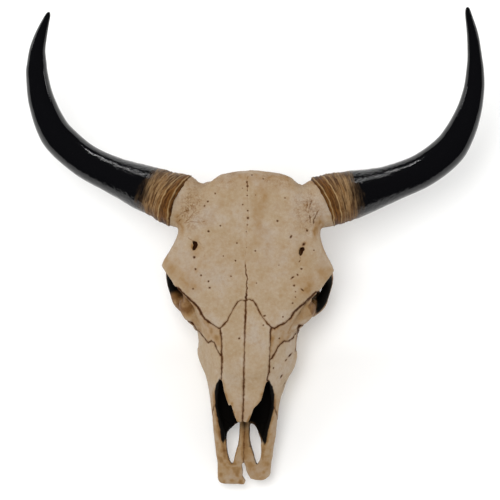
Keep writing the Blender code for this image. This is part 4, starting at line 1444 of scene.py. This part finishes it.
def crownTree():
    # one crown, two units long and wide and one high, its chewing surface down
    tree, node, given = newTree("toothCrown", {
        "Lobes": ("Float", 2.0), "Rib Depth": ("Float", cheekTeeth["ribDepth"]),
        "Ridge Depth": ("Float", cheekTeeth["ridgeDepth"])})

    block = node("MeshCylinder", {
        "Vertices": cheekTeeth["sides"], "Side Segments": 16, "Fill Segments": 14,
        "Radius": 1.0, "Depth": 1.0},
        fill_type="TRIANGLE_FAN").outputs["Mesh"]
    x, y, z = node("SeparateXYZ", node("InputPosition")).outputs
    squares = node(plusTimes, x, x, node(times, y, y))
    radius = node(larger, node("Math SQRT", squares), 0.001)
    shares = [node("Math POWER", node(distance, node("Math DIVIDE", part, radius)), 4.0) for part in (x, y)]
    total = node(larger, node(plus, *shares), 0.5)  # 0 only in the very middle
    square = node("Math POWER", total, -0.25)
    across, along = node(times, x, square), node(times, y, square)
    # ribs on the cheek's side, a groove between the lobes on the tongue's side
    wave = node("Math COSINE", node(times, along, node(times, given["Lobes"], pi)))
    cheekSide, tongueSide = node(soft, across, 0.3, 0.9), node(soft, across, -0.3, -0.9)
    ribs = node(times, wave, cheekSide)
    lobes = node(times, node(times, node(plus, wave, 1.0), tongueSide), 1.2)
    swollen = node(times, node(times, node(plus, ribs, lobes), given["Rib Depth"]), radius)
    newX = node(plus, swollen, across)
    # enamel stands up round the rim and in crescents in each lobe, and the dentine between is worn hollow
    share = node(times, node(plus, along, 1.0), node(times, given["Lobes"], 0.5))
    spot = node(minus, node("Math FRACT", share), 0.5)
    offset = node(minus, across, 0.28)
    away = node(plusTimes, node(times, spot, spot), 2.2, node(times, offset, offset))
    away = node(distance, node(minus, node("Math SQRT", away), 0.46))
    crescent = node(times, node(soft, away, 0.13, 0.05), node(soft, across, 0.45, 0.2))
    enamel = node(larger, crescent, node(soft, radius, 0.86, 0.94))
    under = node("Math LESS_THAN", z, -0.499)
    hollow = node(times, node(minus, 1.0, enamel), under)
    newZ = node(plusTimes, hollow, given["Ridge Depth"], z)
    taper = node(soft, z, -0.5, 0.5, 1.0, 0.86)
    moved = node("CombineXYZ", node(times, newX, taper), node(times, along, taper), newZ)
    between = node(times, node(plusTimes, wave, -0.5, 0.5), node(plus, cheekSide, tongueSide))
    grooves = node(larger, between, node(soft, z, -0.1, 0.45))
    shaped = block
    for name, value in (("wear", hollow), ("groove", grooves)):
        shaped = node("StoreNamedAttribute FLOAT", {"Geometry": shaped, "Name": name, "Value": value})
    shaped = node("SetPosition", {"Geometry": shaped, "Position": moved})
    node("GroupOutput", {"Geometry": shaped})
    return tree


def rowTree():
    # a crown at each point of the row, sized and leaned by the point's own numbers
    tree, node, given = newTree("toothRow", {
        "Geometry": ("Geometry", None), "Seed": ("Float", None), "Unevenness": ("Float", None),
        "Material": ("Material", None)})
    crown = crownTree()
    choice = node("GeometryToInstance")
    for lobes in (1.0, 2.0):
        one = node("Group", node_tree=crown)
        one.inputs["Lobes"].default_value = lobes
        tree.links.new(one.outputs[0], choice.inputs[0])
    size, lean, kind = (node("InputNamedAttribute " + form, {"Name": name}) for form, name in (
        ("FLOAT_VECTOR", "size"), ("FLOAT_VECTOR", "lean"), ("INT", "kind")))
    placed = node("InstanceOnPoints", {
        "Points": given["Geometry"], "Instance": choice, "Pick Instance": True, "Instance Index": kind,
        "Rotation": lean, "Scale": size})
    real = node("RealizeInstances", {"Geometry": placed})
    seeded = node("VectorMath ADD", node("InputPosition"), node("CombineXYZ", given["Seed"]))
    noise = node("TexNoise", {"Vector": seeded, "Scale": 1 / 5, "Detail": 3.0})
    rough = node("VectorMath SUBTRACT", noise.outputs[1], (0.5, 0.5, 0.5))
    rough = node("VectorMath SCALE", rough, given["Unevenness"])
    shaped = node("SetPosition", {"Geometry": real, "Offset": rough})
    smooth = node("SetShadeSmooth", {"Geometry": shaped, "Shade Smooth": True})
    done = node("SetMaterial", {"Geometry": smooth, "Material": given["Material"]})
    node("GroupOutput", {"Geometry": done})
    return tree


def toothRow(side, word, tree, material):
    places, sizes, leans, kinds = [], [], [], []
    teeth = cheekTeeth
    rear = teeth["rowRear"]
    for length, width, lobes in teeth["sizes"]:
        y = rear - length / 2
        forward = teeth["rowRear"] - y
        top = teeth["rearTop"] + forward * teeth["topRise"]
        foot = tableLevel(y) + teeth["offTable"] + (skull["tableY"] - y) * teeth["frontRise"] * (y < 220)
        places.append((side * (teeth["rearX"] - forward * teeth["narrowing"]), y, (top + foot) / 2))
        sizes.append((side * width / 2 * teeth["widthShare"], length / 2 - teeth["gap"], top - foot))
        leans.append((radians(-skull["restTilt"]), 0, 0))
        kinds.append(lobes - 1)
        rear -= length
    data = bpy.data.meshes.new("toothPoints")
    data.from_pydata(places, [], [])
    for name, values in (("size", sizes), ("lean", leans)):
        layer = data.attributes.new(name, "FLOAT_VECTOR", "POINT")
        layer.data.foreach_set("vector", np.array(values, np.float32).ravel())
    data.attributes.new("kind", "INT", "POINT").data.foreach_set("value", np.array(kinds, np.int32))
    values = {"Seed": 3.0 + side, "Unevenness": teeth["unevenness"], "Material": material}
    return grown(newObject("toothPoints", data), tree, values, "cheek_teeth_" + word)


# Into the frame

tilt = radians(skull["restTilt"])
restHeight = skull["tableY"] * sin(tilt) + skull["tableZ"] * cos(tilt)
tip = Matrix.Rotation(tilt, 4, "X")
toRest = Matrix.Scale(0.001, 4) @ Matrix.Translation((0, -skull["middleY"], -restHeight)) @ tip


def seat(obj, node):
    # a finished piece: in metres at rest, riding on the one body
    obj.data.transform(toRest)
    places = readMesh(obj.data)
    writePlaces(obj.data, np.clip(places, np.array(cadBox[0]) + 1e-5, np.array(cadBox[1]) - 1e-5))
    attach(obj, "root")
    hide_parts(node)


def finishBone(obj, node, material):
    data = obj.data
    place, normal = readMesh(data), readMesh(data, "normal")
    x, y, z = place.T
    upward = normal[:, 2]
    nasal = node.startswith("nasal")
    hollow = np.empty(len(place), np.float32)
    data.attributes["hollow"].data.foreach_get("value", hollow)
    # less of the painted shade on the wall before the eye
    shadeLifted = np.maximum(spot(np.abs(x), y, (88, 255), (14, 24)), spot(np.abs(x), y, (80, 237), (12, 12)))
    hollow *= 1 - np.where(x > 0, 0.75, 0.55) * shadeLifted * ramp(z, -105, -85)
    if nasal:  # the painted shade from under the thin tips is kept off their tops
        hollow *= 1 - 0.85 * ramp(y, 165, 148) * ramp(upward, -0.1, 0.3)
    # near-black painted shade inside the nose and eye sockets
    black = paintedCavityShade(place, hollow)
    if nasal:
        black *= ramp(upward, -0.2, -0.5)
    stainAndShade = stainsAndShade(place, normal)
    if node.startswith("lacrimal"):
        stainAndShade = np.maximum(stainAndShade, 0.3 + 0.3 * lumps(place, 9, 28))
    seam = fromSuture(place) + 1.3 * (1 - sutureStrength(place))  # closed sutures count as farther off
    fields = {"hollow": hollow, "seam": seam, "dark": black, "stainAndShade": stainAndShade, "veined": rootTexture(place)}
    for name, values in fields.items():
        writeField(data, name, values)
    data.materials.clear()
    data.materials.append(material)
    data.shade_smooth()
    data.set_sharp_from_angle(angle=radians(skull["sharpAngle"]))
    seat(obj, node)


# Floor, light and camera

stage = {
    "floor": "#FDFDFC",
    "sky": 0.55,
    # the lamps: watts, width and height in metres, place, and whether the polished horns mirror it
    "lamps": {
        "key": (46, (1.4, 1.4), (-0.3, -0.15, 3.2), False),
        "left": (18, (1.2, 1.2), (-2.3, -0.7, 1.3), False),
        "right": (14, (1.2, 1.2), (2.3, -0.8, 1.3), False),
        "top": (22, (2.0, 0.14), (0, 2.7, 1.5), True),
        "leftStrip": (3, (0.8, 0.12), (-2.3, 0.9, 0.4), True),
        "rightStrip": (3, (0.8, 0.12), (2.3, 0.9, 0.4), True),
    },
    "lampAim": (0, 0, 0.1),
    "lens": 168.0, "distance": 3500.0, "yaw": 3.0, "roll": 1.8,
    "target": (3.748, 351.356, -0.196),  # on the forehead, in the skull's own frame
}


def floor():
    # Matt white paper: bright, even and without gloss.
    material, node, mm = newMaterial("mattPaper")
    fibre = node("TexNoise", {"Vector": mm, "Scale": 1 / 3, "Detail": 3.0})
    bump = node("Bump", {"Height": fibre, "Strength": 0.05, "Distance": 0.0002})
    finishMaterial(node, {"Base Color": stage["floor"], "Roughness": 0.9, "Normal": bump,
                          "Specular IOR Level": 0.15})
    data = bpy.data.meshes.new("floor")
    with editing(data) as mesh:
        bmesh.ops.create_grid(mesh, x_segments=1, y_segments=1, size=8)
    data.materials.append(material)
    obj = newObject("floor", data)


def lamp(name, power, size, place, mirrors):
    data = bpy.data.lights.new(name, "AREA")
    data.energy = power
    data.shape = "RECTANGLE"
    data.size, data.size_y = size
    obj = newObject(name, data)
    obj.location = place
    obj.rotation_euler = (Vector(stage["lampAim"]) - Vector(place)).to_track_quat("-Z", "Y").to_euler()
    obj.visible_glossy = mirrors


def lightAndCamera():
    scene = bpy.context.scene
    world = bpy.data.worlds.new("studio")
    world.use_nodes = True
    background = world.node_tree.nodes["Background"].inputs
    background["Color"].default_value = (1, 1, 1, 1)
    background["Strength"].default_value = stage["sky"]
    world.cycles_visibility.glossy = False
    scene.world = world
    for name, values in stage["lamps"].items():
        lamp(name, *values)
    # square to the forehead, which is tipped forward by the tilt at rest, and a little to the skull's left
    yaw, roll = radians(stage["yaw"]), radians(stage["roll"])
    back, level, head = Vector((sin(yaw), 0, cos(yaw))), Vector((cos(yaw), 0, -sin(yaw))), Vector((0, 1, 0))
    right, up = level * cos(roll) + head * sin(roll), head * cos(roll) - level * sin(roll)
    eye = Vector(stage["target"]) + back * stage["distance"]
    axes = [tip.to_3x3() @ axis for axis in (right, up, back)]
    data = bpy.data.cameras.new("camera")
    data.lens = stage["lens"]
    data.sensor_width = 36.0
    data.clip_end = 50
    scene.camera = newObject("camera", data)
    scene.camera.matrix_world = Matrix.Translation(toRest @ eye) @ Matrix(axes).transposed().to_4x4()
    view = scene.view_settings
    view.view_transform, view.look, view.exposure, view.gamma = "Standard", "None", 0, 1


boneMaterial, hornMaterial, toothMaterial = dryBone(), hornKeratin(), toothEnamel()
for obj, node in partBones(wholeSkull()):
    finishBone(obj, node, boneMaterial)
report("bone fields")
sheathTree, teethTree = hornTree(), rowTree()
for side, word in eachSide:
    seat(hornSheath(side, word, sheathTree, hornMaterial), "horn_" + word)
    seat(toothRow(side, word, teethTree, toothMaterial), "maxilla_" + word)
report("horns and teeth")
floor()
lightAndCamera()
for obj in bpy.data.objects:
    if obj.type == "MESH" and "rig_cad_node" not in obj:
        print(obj.name, triangles(obj), "triangles")
